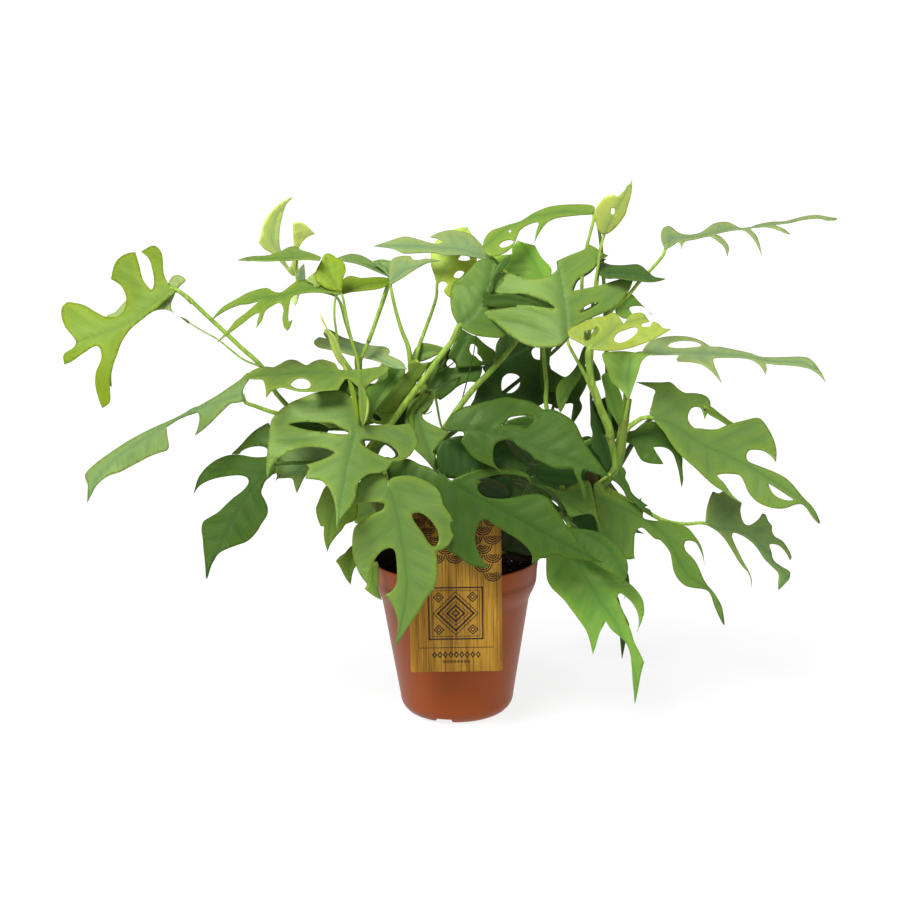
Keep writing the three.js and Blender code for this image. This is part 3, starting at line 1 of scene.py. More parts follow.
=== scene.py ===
"""A mini monstera in a nursery pot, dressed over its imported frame.

The leaves and stems are drawn on one front elevation in millimetres, in perspective from EYE: x to the right
and z up in the plane y = 0. Each drawn point moves along its own line of sight to its depth.
"""
import math
import random

import bmesh
import bpy
import numpy as np
from mathutils import Matrix, Vector, noise
from mathutils.geometry import delaunay_2d_cdt


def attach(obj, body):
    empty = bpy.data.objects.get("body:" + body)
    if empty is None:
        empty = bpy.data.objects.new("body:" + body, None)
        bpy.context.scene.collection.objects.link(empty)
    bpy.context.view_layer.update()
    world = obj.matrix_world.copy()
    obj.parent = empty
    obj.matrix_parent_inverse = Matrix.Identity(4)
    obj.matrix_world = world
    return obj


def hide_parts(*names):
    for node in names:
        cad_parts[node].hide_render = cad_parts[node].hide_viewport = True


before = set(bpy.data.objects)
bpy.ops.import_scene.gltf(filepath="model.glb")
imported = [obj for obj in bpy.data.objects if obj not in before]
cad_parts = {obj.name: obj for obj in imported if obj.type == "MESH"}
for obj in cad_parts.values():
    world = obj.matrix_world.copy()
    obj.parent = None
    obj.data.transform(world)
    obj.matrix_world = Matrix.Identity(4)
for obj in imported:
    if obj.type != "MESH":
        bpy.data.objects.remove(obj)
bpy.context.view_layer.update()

MM = 0.001

# ---------------------------------------------------------------- driving dimensions, in millimetres

EYE = np.array([-2.4, -1459.2, 541.3])  # the photographer's eye
FRAME_WIDTH = 900  # of the photo, in pixels
FOCAL_LENGTH = 2108  # in pixels of the photo
VIEW_DOWN = math.radians(13.4)
ROLL = math.radians(-0.9)

POT_HEIGHT = 115.0
RIM_RADIUS = 60.0
BAND_FOOT = 99.0  # height of the rim band's lower end
NECK_HEIGHT = 87.0  # height where the plain wall goes over into the flare below the band
NECK_RADIUS = 53.4
FOOT_RADIUS = 29.0
HEEL_HEIGHT = 10.0
HEEL_RADIUS = 40.8
HEEL_ROUND = 12.5  # height of the round turn from the foot up into the wall
POT_WALL = 1.6
POT_FLOOR = 5.0
POT_SEGMENTS = 128
NOTCHES = 4
NOTCH_WIDTH = 14.0
NOTCH_HEIGHT = 4.6
NOTCH_INNER = 20.0
FIRST_NOTCH = -107.0  # degrees

SOIL_TOP = 105.5
SOIL_MOUND = 2.5
SOIL_GAP = 0.3
SOIL_RINGS, SOIL_SEGMENTS = 44, 150
CRUMBS = 900
PALE_SHARE = 0.05  # crumbs that are pale grains

CARD_LEFT, CARD_RIGHT = -32.2, 31.8
CARD_MIDDLE = (CARD_LEFT + CARD_RIGHT) / 2
CARD_BOTTOM, CARD_TOP = 50.0, 176.0
CARD_FRONT = -64.2
CARD_THICKNESS = 1.0
CARD_CORNER = 1.6
TONGUE_CENTRE, TONGUE_WIDTH = -1.0, 18.0
TONGUE_FRONT, TONGUE_FOOT = -50.0, 90.0
BRIDGE_GAP = 0.6  # between the pot's rim and the strip over it
BRIDGE = 2.2  # from the pot's rim to the top of the strip
ORNAMENT_HEIGHT = 92.5  # middle of the printed frame
RULE_HEIGHT = 67.6
LOZENGE_HEIGHTS = (62.4, 57.4)  # the two rows of small lozenges
SCALES_FOOT = 121.5
SCALE_WIDTH, SCALE_HEIGHT = 13, 6.6
PRINT_OUT, PRINT_IN = 0.08, 0.04  # how far the print reaches out of the card and into it

BLADE_THICKNESS = 0.6
BLADE_STEP = 2.3  # size of a blade's triangles
EDGE_STEP = 1.5  # spacing of the points along a blade's edge
EDGE_CLEAR = 0.8  # inner points keep this far from the edge
BEND = 0.006  # how much a blade's sides bend back
STEM_RADIUS = 3.2
STEM_SIDES, STALK_SIDES = 16, 10

FLOOR_REACH = 40000
FLOOR_THICKNESS = 10

# ---------------------------------------------------------------- colours of the leaves, sRGB

# The three darkest greens, down to near-black, are painted shade: tones for leaves and sheets deep in the
# plant's shadow.
SHOOT, STRAW, YELLOW, APPLE, CITRON = "c6d99c", "98aa57", "85953e", "84a84c", "a3b845"
BRIGHT, SCAR, SHADE_PITCH, STRAWLIGHT, PALELIME = "739e34", "2b2710", "0e1a0b", "a2b052", "c0d372"
SAGE, LIME, ACID, FRESH, LEAFY = "7b9058", "667e1b", "768c1e", "6b8634", "658c36"
SILVER, GREEN, MOSS, MEADOW, MIDDLE = "637c42", "5d7834", "5c7426", "4f6c29", "3d5b20"
DEEP, BOTTLE, SHADE, SHADE_NIGHT = "34501a", "2f4a1f", "28451a", "1b3415"
DIM = (MEADOW, MIDDLE, DEEP, BOTTLE, SHADE, SHADE_NIGHT, SHADE_PITCH)  # tones of leaves that stand in the shade

# ---------------------------------------------------------------- stems and leaves

# Stems: x,z,y from the root in the soil upwards.
STEMS = {
    "left": [
        "-34,78,0 -34,100,0 -35,113,0 -46,130,-7 -57,155,-14 -64,185,-20 -66,212,-26 -66,240,-24 -66,262,-20",
    ],
    "middle": [
        """0,78,8 0,100,8 0,113,8 -4,140,0 -9,175,-12 -18,192,-16 -28,208,-16 -29,222,-13 -20,236,-10
        -29,256,0""",
    ],
    "right": [
        "26,78,0 26,100,0 27,112,0 46,125,-6 80,146,-18 104,166,-28 115,176,-32 112,200,-28 105,221,-25",
        "104,166,-28 115,176,-31 118.7,188,-30 122,213,-29 124.6,228.6,-30",
    ],
}

STALK_RADII = {  # radius at the leaf and at the stem; the others follow the size of their leaf
    "folded_green": (1.8, 2.8), "behind_top": (1.9, 2.4), "far_left": (1.5, 2.1), "yellow_right": (2.0, 3.0),
    "broad_top": (1.0, 1.7), "pale_pair": (1.2, 2.0), "long_top": (1.0, 2.0), "dark_forked_right": (1.0, 1.2),
    "hanging_right": (0.8, 1.0), "rolled_left": (1.0, 1.6), "centre": (0.7, 1.2), "lime_scrap": (0.3, 0.5),
    "dark_fold": (0.4, 0.8), "dark_middle": (0.4, 0.8), "spent_left": (0.5, 0.8), "sheath_edge": (0.4, 0.6),
    "shelf_left": (0.8, 1.3), "flat_left": (0.5, 0.8), "upright_left": (0.6, 0.9), "flag_left": (0.7, 1.3),
    "crook_left": (0.9, 2.1), "fold_shadow": (0.3, 0.3), "sheath_inner": (0.4, 0.6),
    "crumpled_middle": (0.3, 0.5),
}
LIT_STALKS = ("folded_green", "hanging_right", "flat_right", "broad_top")  # of dim leaves, but in the light

LEAVES = {}


class Point(tuple):
    """x, z and, on a stem and at a stalk's root, the depth y; corner is True at a sharp corner."""

    def __new__(cls, numbers, corner=False):
        made = super().__new__(cls, numbers)
        made.corner = corner
        return made


def drawn(text):
    """The points of "x,z x,z! x,z,y"; ! marks a sharp corner."""
    return [Point(map(float, word.strip("!").split(",")), word.endswith("!")) for word in text.split()]


def seeded(name):
    return random.Random(name)


def leaf(name, stem, tone, depth, rib, stalk, edge, *holes):
    """depth is [y at the base, dy/dx, dy/dz, y added at the tip, dy for each mm away from the rib].

    What a depth leaves out at its end is 0.
    """
    LEAVES[name] = {
        "stem": stem, "tone": tone, "depth": depth + [0] * (5 - len(depth)), "rib": drawn(rib),
        "stalk": drawn(stalk), "edge": drawn(edge), "holes": list(map(drawn, holes)), "behind": False,
    }


leaf("far_left", "left", LIME, [14, -0.2, 0.6, 0, 0.1], "-195,313 -212,300 -225,290 -242,283 -264,276",
    """-66,210,-25 -90,212 -108,218 -119,230 -126,239 -134,256 -147,269 -156.5,278.5 -170.5,292.5 -187.5,309
    -195,313""",
    """-197,316 -200,323 -201,338 -206,343 -215,339! -210,334 -208,327 -207,317 -209,312 -212,315 -215,320
    -217,330 -219,338.5! -224,338 -230,335 -234,330 -237,320! -231,316 -228,311 -227,305 -229,298 -233,294
    -242,293.5 -249,297 -257,302 -268,304.5! -272,301 -273,295 -271,287 -266,280 -264,276 -266,272 -273,267
    -273,260! -268,262 -259,268 -250,273 -247,270 -247,263 -251,254 -252,245 -250,234 -248,228! -242.5,232.5
    -241.8,245.5 -238.3,260 -235.8,265.8 -231.5,276 -225.2,284.5 -219.3,289.4 -213.4,293.9 -207.4,297.9
    -200.4,303.9 -194.6,308.3 -192,311""")
leaf("upright_left", "left", PALELIME, [40, 0.3, -0.3], "-108,321 -116,331 -124,345 -120,362 -110,374",
    "-66,258,-20 -74,285 -80,305 -90,312 -100,314 -108,321",
    """-110,320 -117,328 -123,335 -130,340 -133,344! -131,351 -128.5,359 -124,365 -118.5,370 -112,374
    -108,375! -113,369.5 -116,361.5 -118,353 -118.5,343 -116.5,334 -112,326 -110,332 -109,339.5 -109,357!
    -104.5,358 -99.5,355.5 -94,349.5! -99,347.5 -103,343.5 -105.5,339 -106,330 -106.5,322""")
leaf("flat_left", "left", FRESH, [-12, 0, 3.2], "-107.5,333 -125,333 -148,333",
    "-66,258,-20 -73,284 -79,304 -90,308.5 -104,311.5 -108,319 -107.5,333",
    """-148,333! -138,334.5 -127,335 -118,337.5 -112,340.5 -107,340.5 -103.5,338 -97,336 -90,333! -91,331
    -99.5,331.5 -115,331.5 -126,331 -136,331.4""")
leaf("shelf_left", "left", FRESH, [-20, 0.1, 1.5], "-78,308 -95,312 -115,308 -135,305 -169,290",
    "-66,240,-24 -66,255 -67.5,264 -70,273.5 -72.5,284.5 -74.5,297.5 -76,306 -78,308",
    """-77,310 -85,315 -93,317 -101,317.5 -108,316 -114,312 -119,309 -124,309.5 -128.5,312 -141.5,309
    -151,304 -160,299 -169,290! -159.5,296 -149,300.5 -141,302 -134,303! -143.5,295 -151.5,289 -156.5,283
    -165,274! -147.5,286.5 -138,293.5 -134.5,294.5 -136,289 -137,284! -133,289 -130,296 -126,299 -120,301.5
    -117.5,297 -118.5,290.5 -117.5,284.5 -115,281.5! -113,284.5 -111.5,289! -114,288 -113.5,298 -111,306
    -105,308 -95,308.5 -84,308 -78,307""")
leaf("flag_left", "left", ACID, [-19, 0, 0.5, 0, 0.1], "-78,309 -84,320 -87,334",
    "-66,214,-26 -68,236 -75,253 -77.5,259.5 -79.5,269 -81,281 -82,292 -81,303.5 -80,306 -78,309",
    """-79,309 -87,311 -94,317 -94,323 -91,329! -88,335 -86,336 -82.5,335 -80,333 -75,330 -73,324 -75,318
    -76.5,309""")
leaf("wing_left", "left", LIME, [8, 0, 1.6], "-43,316 -60,314 -77,308",
    "-66,256,-18 -62,266 -58.5,273 -52,291 -45,311 -43,316",
    "-41,317 -50,318.5 -62.5,318 -70.5,319.5 -75.5,316.5 -77,307! -70,308.5 -62.8,309 -50,310.5 -42,314")
leaf("arch_left", "left", SILVER, [22, 0, 1.6], "-43,319 -56,327 -80,332.5",
    "-58.5,273,-14 -51,292 -44,311 -43,319",
    """-80,332.5! -69,335 -61.5,333.5 -53.5,329 -49,326 -45.5,324 -42,319! -49,321.8 -58,325.5 -66,329
    -73,330.5""")
leaf("crook_left", "middle", SAGE, [2, 0, 1.2], "-42,316 -32,324 -7,330",
    "-29,252,0 -29.5,261 -31,270 -35,280.5 -40,300 -42,312 -42,316",
    """-42.5,314 -41.5,329.7 -36.5,332.5 -31.5,333 -27.5,332.5 -26.5,330.5 -22,330 -17.5,331 -7,330! -14,329
    -19.5,327 -28,321.5 -36,316.5""")
leaf("pale_pair", "right", SAGE, [30, 0.1, 1.0], "28.5,331 5,338 -20,340 -53,341",
    "80,146,-16 76,175 70,205 66,227 66.4,239 65.3,252.5 63.4,269 55,295 40,318 28.5,331",
    """28.5,331 24.5,337 20,342 15,347 10,349 0,350.5 -7.5,349 -14,346! -8,344.5 -4,342! -11,341.5 -24,345
    -32,346.5 -45,343 -53,341! -40,338.5 -32.5,335 -24,335 -11,335 -4,333 8,333 16.5,331.5 27,329.5""")
leaf("folded_lime", "middle", CITRON, [40, 0, 0.6, 0, 0.15], "-9.5,314 0,330 12,353",
    "-29,252,0 -25.5,261 -23,269 -18,282 -13,295 -10,305 -9.5,314",
    """-9.5,313.5 -11.5,319.5 -13.5,326 -13.5,334 -11,341 -5,347 3,351 12,353! 16,345 18,336 18,326 14,316
    8,308 0,303 -3,305 -5,308 -2.5,313 -6,315""", "5.5,330 8,333 12,333 13.7,330 10,329",
    "2,318 5,322 9.5,321 6,317")
leaf("folded_green", "left", MEADOW, [-14, 0, 0.55, 0, 0.05], "5,283 17,293 26,308 29,330",
    "-64,190,-22 -54,203 -43.5,214.5 -33.5,228 -25.5,238.5 -15.5,251.5 -7.5,263 0,272 5,283",
    """28,330 19.5,329 14,324 8,317.5 2.5,314.5 0,308 -0.5,300 0.5,292.5 3,287 5.5,283.5 11,279 18,276
    23.5,275 35.5,274.5 42,280 46,292 43,305 38,314 33,322""")
leaf("broad_top", "right", GREEN, [-30, 0, 0.6, 0, 0.08], "81.5,272.5 79,300 76,318 74,328",
    "105,221,-26 104,222 99.3,233 94.5,244.7 89,255.5 82,269 81.5,272.5",
    """81.5,272.5 89,282.5 97,286.5 105,290 113.5,293.5 119,298.5 123,304 125.5,308 128,316! 122,315
    115,313.5 105,310.5 95.5,308.5 87.5,307 85,306.5 85.5,309 88.5,315 98,321 103.5,327 110,331! 105,333.5
    100.5,337 95.5,339 93.5,336 90.5,334.5 85,332.5 74,328! 74,322 69.5,318 59.5,316 49,317 40,320
    34.5,319.5 30.5,314 29.5,308.5 32,305.5 40,305 50.5,305 60,302 69,298 72.5,294.5 53.5,297 40,297
    29,295.5 22.5,291.5 22.5,288.5 28.7,286.5 33.5,282.3 39,277.3 45,273 51,269.5 59,267 68,266.5 76,268
    80,271.5""", "90,291 96,293 103.5,298 98,297.5 92,294")
leaf("behind_top", "middle", BRIGHT, [38, 0, 0.5], "66,312 60,325 50,340",
    "-18,192,-16 -12,202 -5,211 5.7,226.3 15.7,238.7 28,251.5 41,266 50,280 60,300 66,312",
    """43,338! 46.9,342.6! 58.9,338.9! 63.5,330.5 70.5,321.5 66,312 54,311 38,312 30,316 27,323 28,331
    35.5,332.5 43,333!""")
leaf("upright_right", "right", STRAWLIGHT, [10, 0, -0.2, 0, 0.15], "107,345.5 113,358 126,383",
    "112,200,-24 105,221 100.5,235 97.5,250 96.5,262 97,285 100,300 101,311 103,325 104.3,335 107,345.5",
    """107,345.5 103.5,348 101,354.5 100,358.5 101,363.5 103.5,367.5 107.5,371.5 113.5,373.5 116,372
    119,374.5 121.5,376.5 122.5,379 125.5,381 126.5,384! 126.5,378.5 125.5,372 123.5,365.5 122,360 119.5,356
    115.5,351 111,347""", "111.8,360 114.2,360 114,364 112,364")
leaf("arching_top", "right", FRESH, [48, 0, 1.0], "99.5,361 80,363 60,360 40,352 25,340",
    "105,221,-20 99,240 96,262 92,290 92,320 95.5,339.5 99.5,361",
    """99.5,361 100.4,365 97,366.5 91,367 79.5,367 70,366 63.5,364 56.6,361 49,356.5 40.5,354 35,352
    28.5,349.5 24,344.5 23,340 24,335 27.1,331.8! 32,332 37.7,334 42.6,337.4! 45,341 46.5,345 49,350
    55.5,354 61.5,355 60,349 58.2,340.6! 62.5,348.5 67,354.3 73,357.6 82,359 91,360""",
    "34,339.5 37.5,342.5 42.5,343 44.4,341.5 40.5,338.8 36,337.6",
    "40.3,349.4 41.6,350.8 42.9,349.4 41.6,348")
leaf("flat_right", "right", MIDDLE, [4, 0, 2.4], "104,320 125,319 150,315",
    "105,221,-18 100,240 97,262 98,290 102,310 104,320",
    """104,326.5 111.5,324.5 119.5,324 130,324.5 133.5,323 137.5,319.5 142,316.5 150,315! 146.5,313 140,312
    132.5,312.5 124,313.5 115,315 109,315 104,318""")
leaf("long_top", "right", SAGE, [12, 0.3, 2.2],
    "150.5,336.5 154,343.5 166.5,343.5 180,345.5 196,349.5 213.5,350.5 234,353 269,354.5",
    "97,250,-22 100,275 110,290 118,298 125,304 131,311.5 140.5,321.5 148,330.5 150.5,337",
    """150.5,336 147.5,339.5 146.5,345 147.5,349 151,351 154,350 157.5,347 161,345.5 166.5,345 173,346
    177,348 182,351.5 186.5,353 193,353 199,350.5 203.5,349.5 208,350 213.5,351.5 222.5,353 232.5,353.5
    239.5,355 247,356.5 254.5,357 261.5,356 269,355! 268,354 263,354 256,355 247,354.5 240,353.5 234,352
    225.5,351 230,348.5 233.5,346.5 236.5,344! 232.5,345 227,347.5 219.5,349.5 213.5,349.5 208.5,348.5
    212.5,344 215,338.5 217,329.5! 215,334 212,339.5 208,344.5 203.5,347.5 197.5,347.5 190.5,346.5 184.5,345
    188,343 192,339 194,334.5 193,329! 192,332.5 190,336.5 186,340 181,343.5 176,343 170,341.5 164,340.5
    162,338.5 160.5,333.5! 160.5,337.5 159,340 155.5,338""")
leaf("yellow_right", "right", YELLOW, [-48, 0, 0.9], "97,266 110,275 118,283 137,287",
    "112,200,-28 110.7,208.5 105,221.5 101,234.5 97.8,243 96.2,255.5 95.8,262 97,266",
    """97,265.5 93,268 87.5,271 83,273.5 81.5,277 83,279.5 90,283 97,286 103.5,288 107,288 110,289.5
    115,290.5 118,287 121,283! 125.5,289 131,290.5 134.5,290 137,287.5 139,284! 135,283.3 133,281.5
    134,280.3 139.5,280.5 140.5,283 142,284! 145,282.5 149,279 154,278.5! 149.5,275.5 145,273 139,270
    132,267.5 124,265 110,263.5""",
    "114.5,273.5 117,276.5 122.5,278.5 129,280.3 131,278 129,275 124,271 117.5,269 114.5,270.5",
    "94,271 93.5,277.5 99,279 102.5,281.5 103.5,279 101,274.5 98,272.5")
leaf("long_right", "right", SAGE, [-14, 0.3, 1.8],
    "138,261.5 160,262 185,261 205,259 225,255 247,253.5 258,248",
    "122,213,-28 123,240 124,255 130,261 138,261.5",
    """138,261 134.2,262.6 138.2,268.8 144.2,271.7 152.1,273.1 160,273.3 168,272.3 174,270.2 178,268.1
    182,265.5 188,265.2 198,263.2 210,260.5 216,258.3 223,257.4 233,257.2 247,257.1 252,255.7 256.6,251.5
    260.2,246.4 263.8,238.7! 258.2,244.9 252.1,248.9 247.1,250 238.1,251.3 228.1,252 221.5,252.8 222,248.5
    221.3,244.9! 219,249 216,252.6 211,255.8 206,257 198,257.5 188,257.5 184.3,256.8 184.5,253.1 187.1,247
    190.4,239.3! 186.1,244.5 181,249.6 176,252.8 170,254.4 164,255 159,255.4 158.2,257.1 160,259.9
    150,260.3""",
    "152,266 153.5,268.2 158.1,269.6 165.1,270 172.2,269 176,266.8 174.2,265.6 166.2,264.8 158.2,264.8")
leaf("small_right", "right", APPLE, [-34, 0, 0.35, 0, 0.1], "124.6,229 124,245 126,258",
    "121,207,-29 122,213 123.5,222 124.6,229",
    """124.6,228.6 127,234.5 129.5,242 131.6,248.7 133.6,255.2 137.7,259.3 144,260.5 133.7,261.5 121.5,263.2
    113.3,263 106,262 106,259 108.3,252 110,247 112.4,241 116.5,237.8 119.7,234.5 123,230.3""")
leaf("small_right_back", "right", LEAFY, [-22, 0, 0.35, 0, 0.1], "118.5,209 114,225 107,244",
    "114.5,180,-28 116,195 118.5,209",
    """118.5,208.6 119.7,213.7 120.8,220 120.5,226.9 119.3,231.9 117.3,236.8 112.4,243 109,248 105.5,246
    105.9,242 107.9,233.7 108.3,227 110.8,220.4 114,215.5""")
leaf("broad_right", "right", GREEN, [-32, 0.3, 0.7, 0, 0.12],
    "142,214.6 155,211 165,204 178,195 195,187 212,178 232,165 250,152 262,136",
    "120.3,200.5,-28 122.5,206 128.7,211.4 136.5,215.5 142,214.6",
    """142,215 139.5,218 141,224 142.3,230 143.3,234.5 137,238 130,240.7! 136,240.6 148.2,240.2 153.2,240.5
    156.3,238.7 159.3,235.6 164.3,232.5 170.3,232.2 176.3,231.2 180.4,229 182.2,226 182.5,222.4 181.5,219.5
    180,216.8 178.6,213.4! 177.5,217.3 176,221 173.4,222.3 169.5,221.6 167,217.5 166.7,213.5 168.6,209.4
    171.6,206.8 175.6,206.5 182.7,205.5 188.7,206 194.3,208.5 198.8,209.8 206.9,211.8 215.5,213.6 219,212
    224.2,204.8 227.8,197.6 230,189.5 229.9,181! 226.5,185.5 221.3,189.2 215.2,190.4 210.7,190 208.5,186.5
    209.8,182.5 214.5,180 221,177.2 229,173.7 237,169.2 243,163.4 250,154.8 256,148.6 260,142 262.2,135.3!
    257.8,139.5 252.7,147.3 249.6,149.7 244.5,149.6 237.3,147 229.2,147 221,149.7 215.9,152.9 210.7,159
    207.6,166.3 204.4,171.5 200.3,172.7 192.2,173 188.1,172 193.3,165.8 199.4,157 205.6,151! 199,155
    193.3,159.5 185.3,165 179.2,170.7 173,176.9 167,182.5 161,188 154,197.3 149.8,204.4 145.8,209""",
    "224.7,165.3 229.8,162.6 238,157 243,153.3 239.2,152.6 232,154.9 227.4,159")
leaf("dark_right", "right", MIDDLE, [-24, 0, 0.35], "122.5,201 140,203 152,196 158,185 163,166",
    "119,192,-30 120.5,198 122.5,201",
    """122.5,204.7 128.5,206 135.7,211.3 143,212 149,205.7 154,197.5 159,191 163,185.6 163.2,179 163.8,171.8
    164,168.8 162.8,163.2! 161.8,168.8 160.6,176 158.5,183.2 156.5,188.4 153,192 148,193.5 142.4,193.4!
    145,188.6 148.4,183.4 149.7,180.8! 144,181 138,182 134,184.2 131.4,187.8 129.9,190.9 128.3,194.5
    124.8,196.7 120.8,197.7""")
leaf("split_left", "left", SILVER, [-38, -0.3, 0.6, 0, 0.15],
    "-148.5,237 -165.5,232 -180.5,226.5 -200.5,217 -222.5,204 -240.5,192 -255.5,177 -262.5,161",
    "-66,215,-26 -80,221 -100,221.5 -118,221 -127,223 -140,228 -147,231 -148,236",
    """-147.5,232 -148.5,238 -146.5,243 -143.5,247 -142,250.5 -144,252 -150,246.8 -159.5,240.5 -166.5,236
    -173,232.5 -179.5,229 -184.5,227.3 -190,224 -196.5,220.7 -202.5,218 -210.5,214.5 -218.5,210.7 -227,206.3
    -235.5,201.3 -243.5,196 -252.5,189.8 -259,184.3 -262.5,180.5 -263,177.6 -261.5,172.5 -262,167.5
    -263,159.5! -260,164.5 -256,171 -251,175.8 -245.5,179 -238,181.3 -231,184.8 -224.2,188.3 -216.5,192.2
    -209.2,195 -204.1,196.5 -202.2,199 -202.1,201 -203,207.9 -203.5,213.8! -199.8,216 -194.5,219.5
    -189.8,221.4 -184.1,223 -180.5,224! -179.5,220 -180.7,214 -183.5,207! -179,210 -172.2,215.7 -165.5,222.3
    -159.8,227.7 -156.8,230 -152.5,230.5""")
leaf("level_left", "left", FRESH, [-30, 0, 2.4], "-68,251 -85,252 -100,252.5 -120,251 -140,250 -147,248",
    "-66,236,-24 -67,246 -68,251",
    """-147,248 -143,252 -137,255 -131,256 -126,255.5 -121,257.8 -115.5,260.5 -110,260.3 -105,257.5
    -102.5,256.5 -98,259 -92,260.5 -86,259 -82,257 -80,253.5 -71,253 -60,253.5 -50,254.8 -44,254.5!
    -46.4,250.3 -52,247 -57,244 -62.6,238.6! -67,241 -72,245.5 -75,246.5 -77.5,243.5 -80.7,238.6! -88,238.3
    -98,237.5! -108.5,238 -113.8,239.3 -119,240.8 -121.7,241! -127,239 -129,237.3 -132,233.5! -131.8,237.5
    -132.3,242.5 -133.5,246.5 -135.5,247.3 -139,247.3 -143,248""",
    "-114.3,243 -111,246.3 -107,247.5 -102,246 -100,242.5 -101.5,240 -106,239.4 -111,240.3")
leaf("broad_left", "left", GREEN, [-62, 0.12, 0.6, 0, 0.1],
    "-69,211 -72,200 -76,185 -79,170 -82,155 -84,137", "-65,196,-24 -67,206 -69,211",
    """-66,212 -66.5,220 -69,229 -74,235 -80,238.3 -87.5,238 -96.5,236.9 -104.7,234 -114.5,230 -120,226.5
    -126,221 -129,216.5 -130.2,209.5 -132,197 -133.3,187.5 -133.7,180 -133.3,174.8! -131,180 -129.5,184
    -125.3,189 -121,191.7 -113,195.7 -106,197.3 -98,197.3 -89,195.6 -84,193! -89,190 -95,187.5 -100,186
    -105,184.5! -103,182 -104.5,179.5 -106,174.5! -99,173.5 -94,172.3 -91.7,169.8 -89,166.3 -86,158
    -84.8,149.3 -84.9,141 -84.2,135.8! -82.3,143 -79,147.5 -74.7,152.3 -71.5,157.5 -70,162.5 -69.5,167
    -67.7,171.3 -64,174.8 -60,177 -54,177.5 -49.8,178.3 -47.7,179.5 -45.5,182.5 -43.6,185.3 -40,186.2
    -35.8,186.8 -30.4,190.5 -28.6,193.3 -26,196.5 -24.6,200 -25.8,204.7 -27.7,209 -31,213.5! -35,213
    -40,212.3 -46.5,213 -54.5,212.5 -62.7,212.7""",
    """-66.5,201 -62,202.6 -55,201.8 -47,199.3 -43.4,197 -39.7,193 -39,190 -41,188.6 -45.7,188 -50.5,189.8
    -57,193 -62,196.5 -65.5,199""",
    """-116.5,214.3 -111,215.5 -103,215.8 -95,215 -84,214 -80.8,211.5 -74.3,208.8 -74.8,206.5 -84.3,206.8
    -91,208 -103,209.8 -111,212""")
leaf("hooked_left", "left", DEEP, [-44, -0.3, 0.4, 0, 0.15],
    "-131,184 -138,176 -146,166 -158,148 -165,135 -172,120 -179.5,102",
    "-62,178,-20 -85,184 -105,186 -131,184",
    """-128,188 -128,205 -130.8,215.2 -134.5,213.7 -140,210.5 -145.5,205.7 -150.7,200 -157.8,193.3!
    -152,193.5 -151,195 -147.6,197 -142.7,198.4 -137.7,198.7 -134,198 -132,196 -132.2,191.5 -141,190.5
    -151,192.3 -155,192.8 -161.5,192 -169,189 -176,183.8 -180,179.3 -182.8,174.7 -184.7,169 -186,164.5!
    -183,169 -178.5,172.5 -171,175.4 -162.7,177 -154.5,177.7 -149.6,177 -146.8,175.3 -146.5,172 -148.8,168.6
    -151.8,165.5 -157.8,161 -163.7,155.6 -169,150.6 -175,147 -179.2,144.5 -180.8,142 -181.5,137 -181,131.7
    -180.7,123 -180.2,115.3 -179.8,107.6 -179.5,100.8! -178,106 -175.7,112 -172,118 -168.5,121 -163.5,123.3
    -156.6,125.8 -149.9,128.2 -145.5,131.5 -141,137 -138.5,141.3 -134.8,146.7 -133.6,150.5 -134,154.8
    -136,160 -137.8,164 -136.6,168.5 -134.5,173 -130.6,176.4 -127,181""")
leaf("shaded_left", "left", SILVER, [-28, 0, 0.4], "-84,190 -98,188 -112,180 -128,172",
    "-61,172,-18 -72,184 -84,190",
    """-82,191 -89,198 -98,200 -106,200 -113,198 -121,194 -126,190 -130,184 -131,177.5 -124.7,179.5!
    -128,172! -126,174.5 -122,175 -115.5,174.5 -113.7,168 -112.5,163.5! -110.3,167.7 -107.5,173.5 -103,180
    -94,186""")
leaf("olive_left", "left", MOSS, [-34, 0, 0.4, 0, 0.1], "-80,170 -86,155 -90,138 -91.8,120",
    "-59,160,-15 -70,168 -80,170",
    """-72,172 -84,172 -91.5,168.5 -94.5,163.4 -97,157.5 -99,152.3 -98.7,147.3 -97.6,143 -96,138.8! -94,139
    -94.2,132.7 -93.5,126.7 -91.8,119.8! -89.8,124.8 -85.5,130.8 -81,135.7 -78,140 -72.8,142 -70,145
    -69,158""")
leaf("scrap_left", "left", MOSS, [-30, 0, 0.3], "-68,124 -76,114 -77,98", "-46,130,-7 -60,128 -68,124",
    """-68,125 -74,124.2 -79.3,118.8 -83.2,116 -86,112.7! -83.8,109.5 -79.3,100 -75.7,94.6! -74.5,101.7
    -72.7,106.8 -69,112""")
leaf("tuck_left", "left", FRESH, [-40, 0, 0.3], "-59,110 -60,98 -54,84", "-46,130,-7 -56,122 -59,110",
    "-56,112 -62,108 -63,97 -65.7,91.4! -59.8,86.3 -53.3,82.7! -56,92 -55,102")
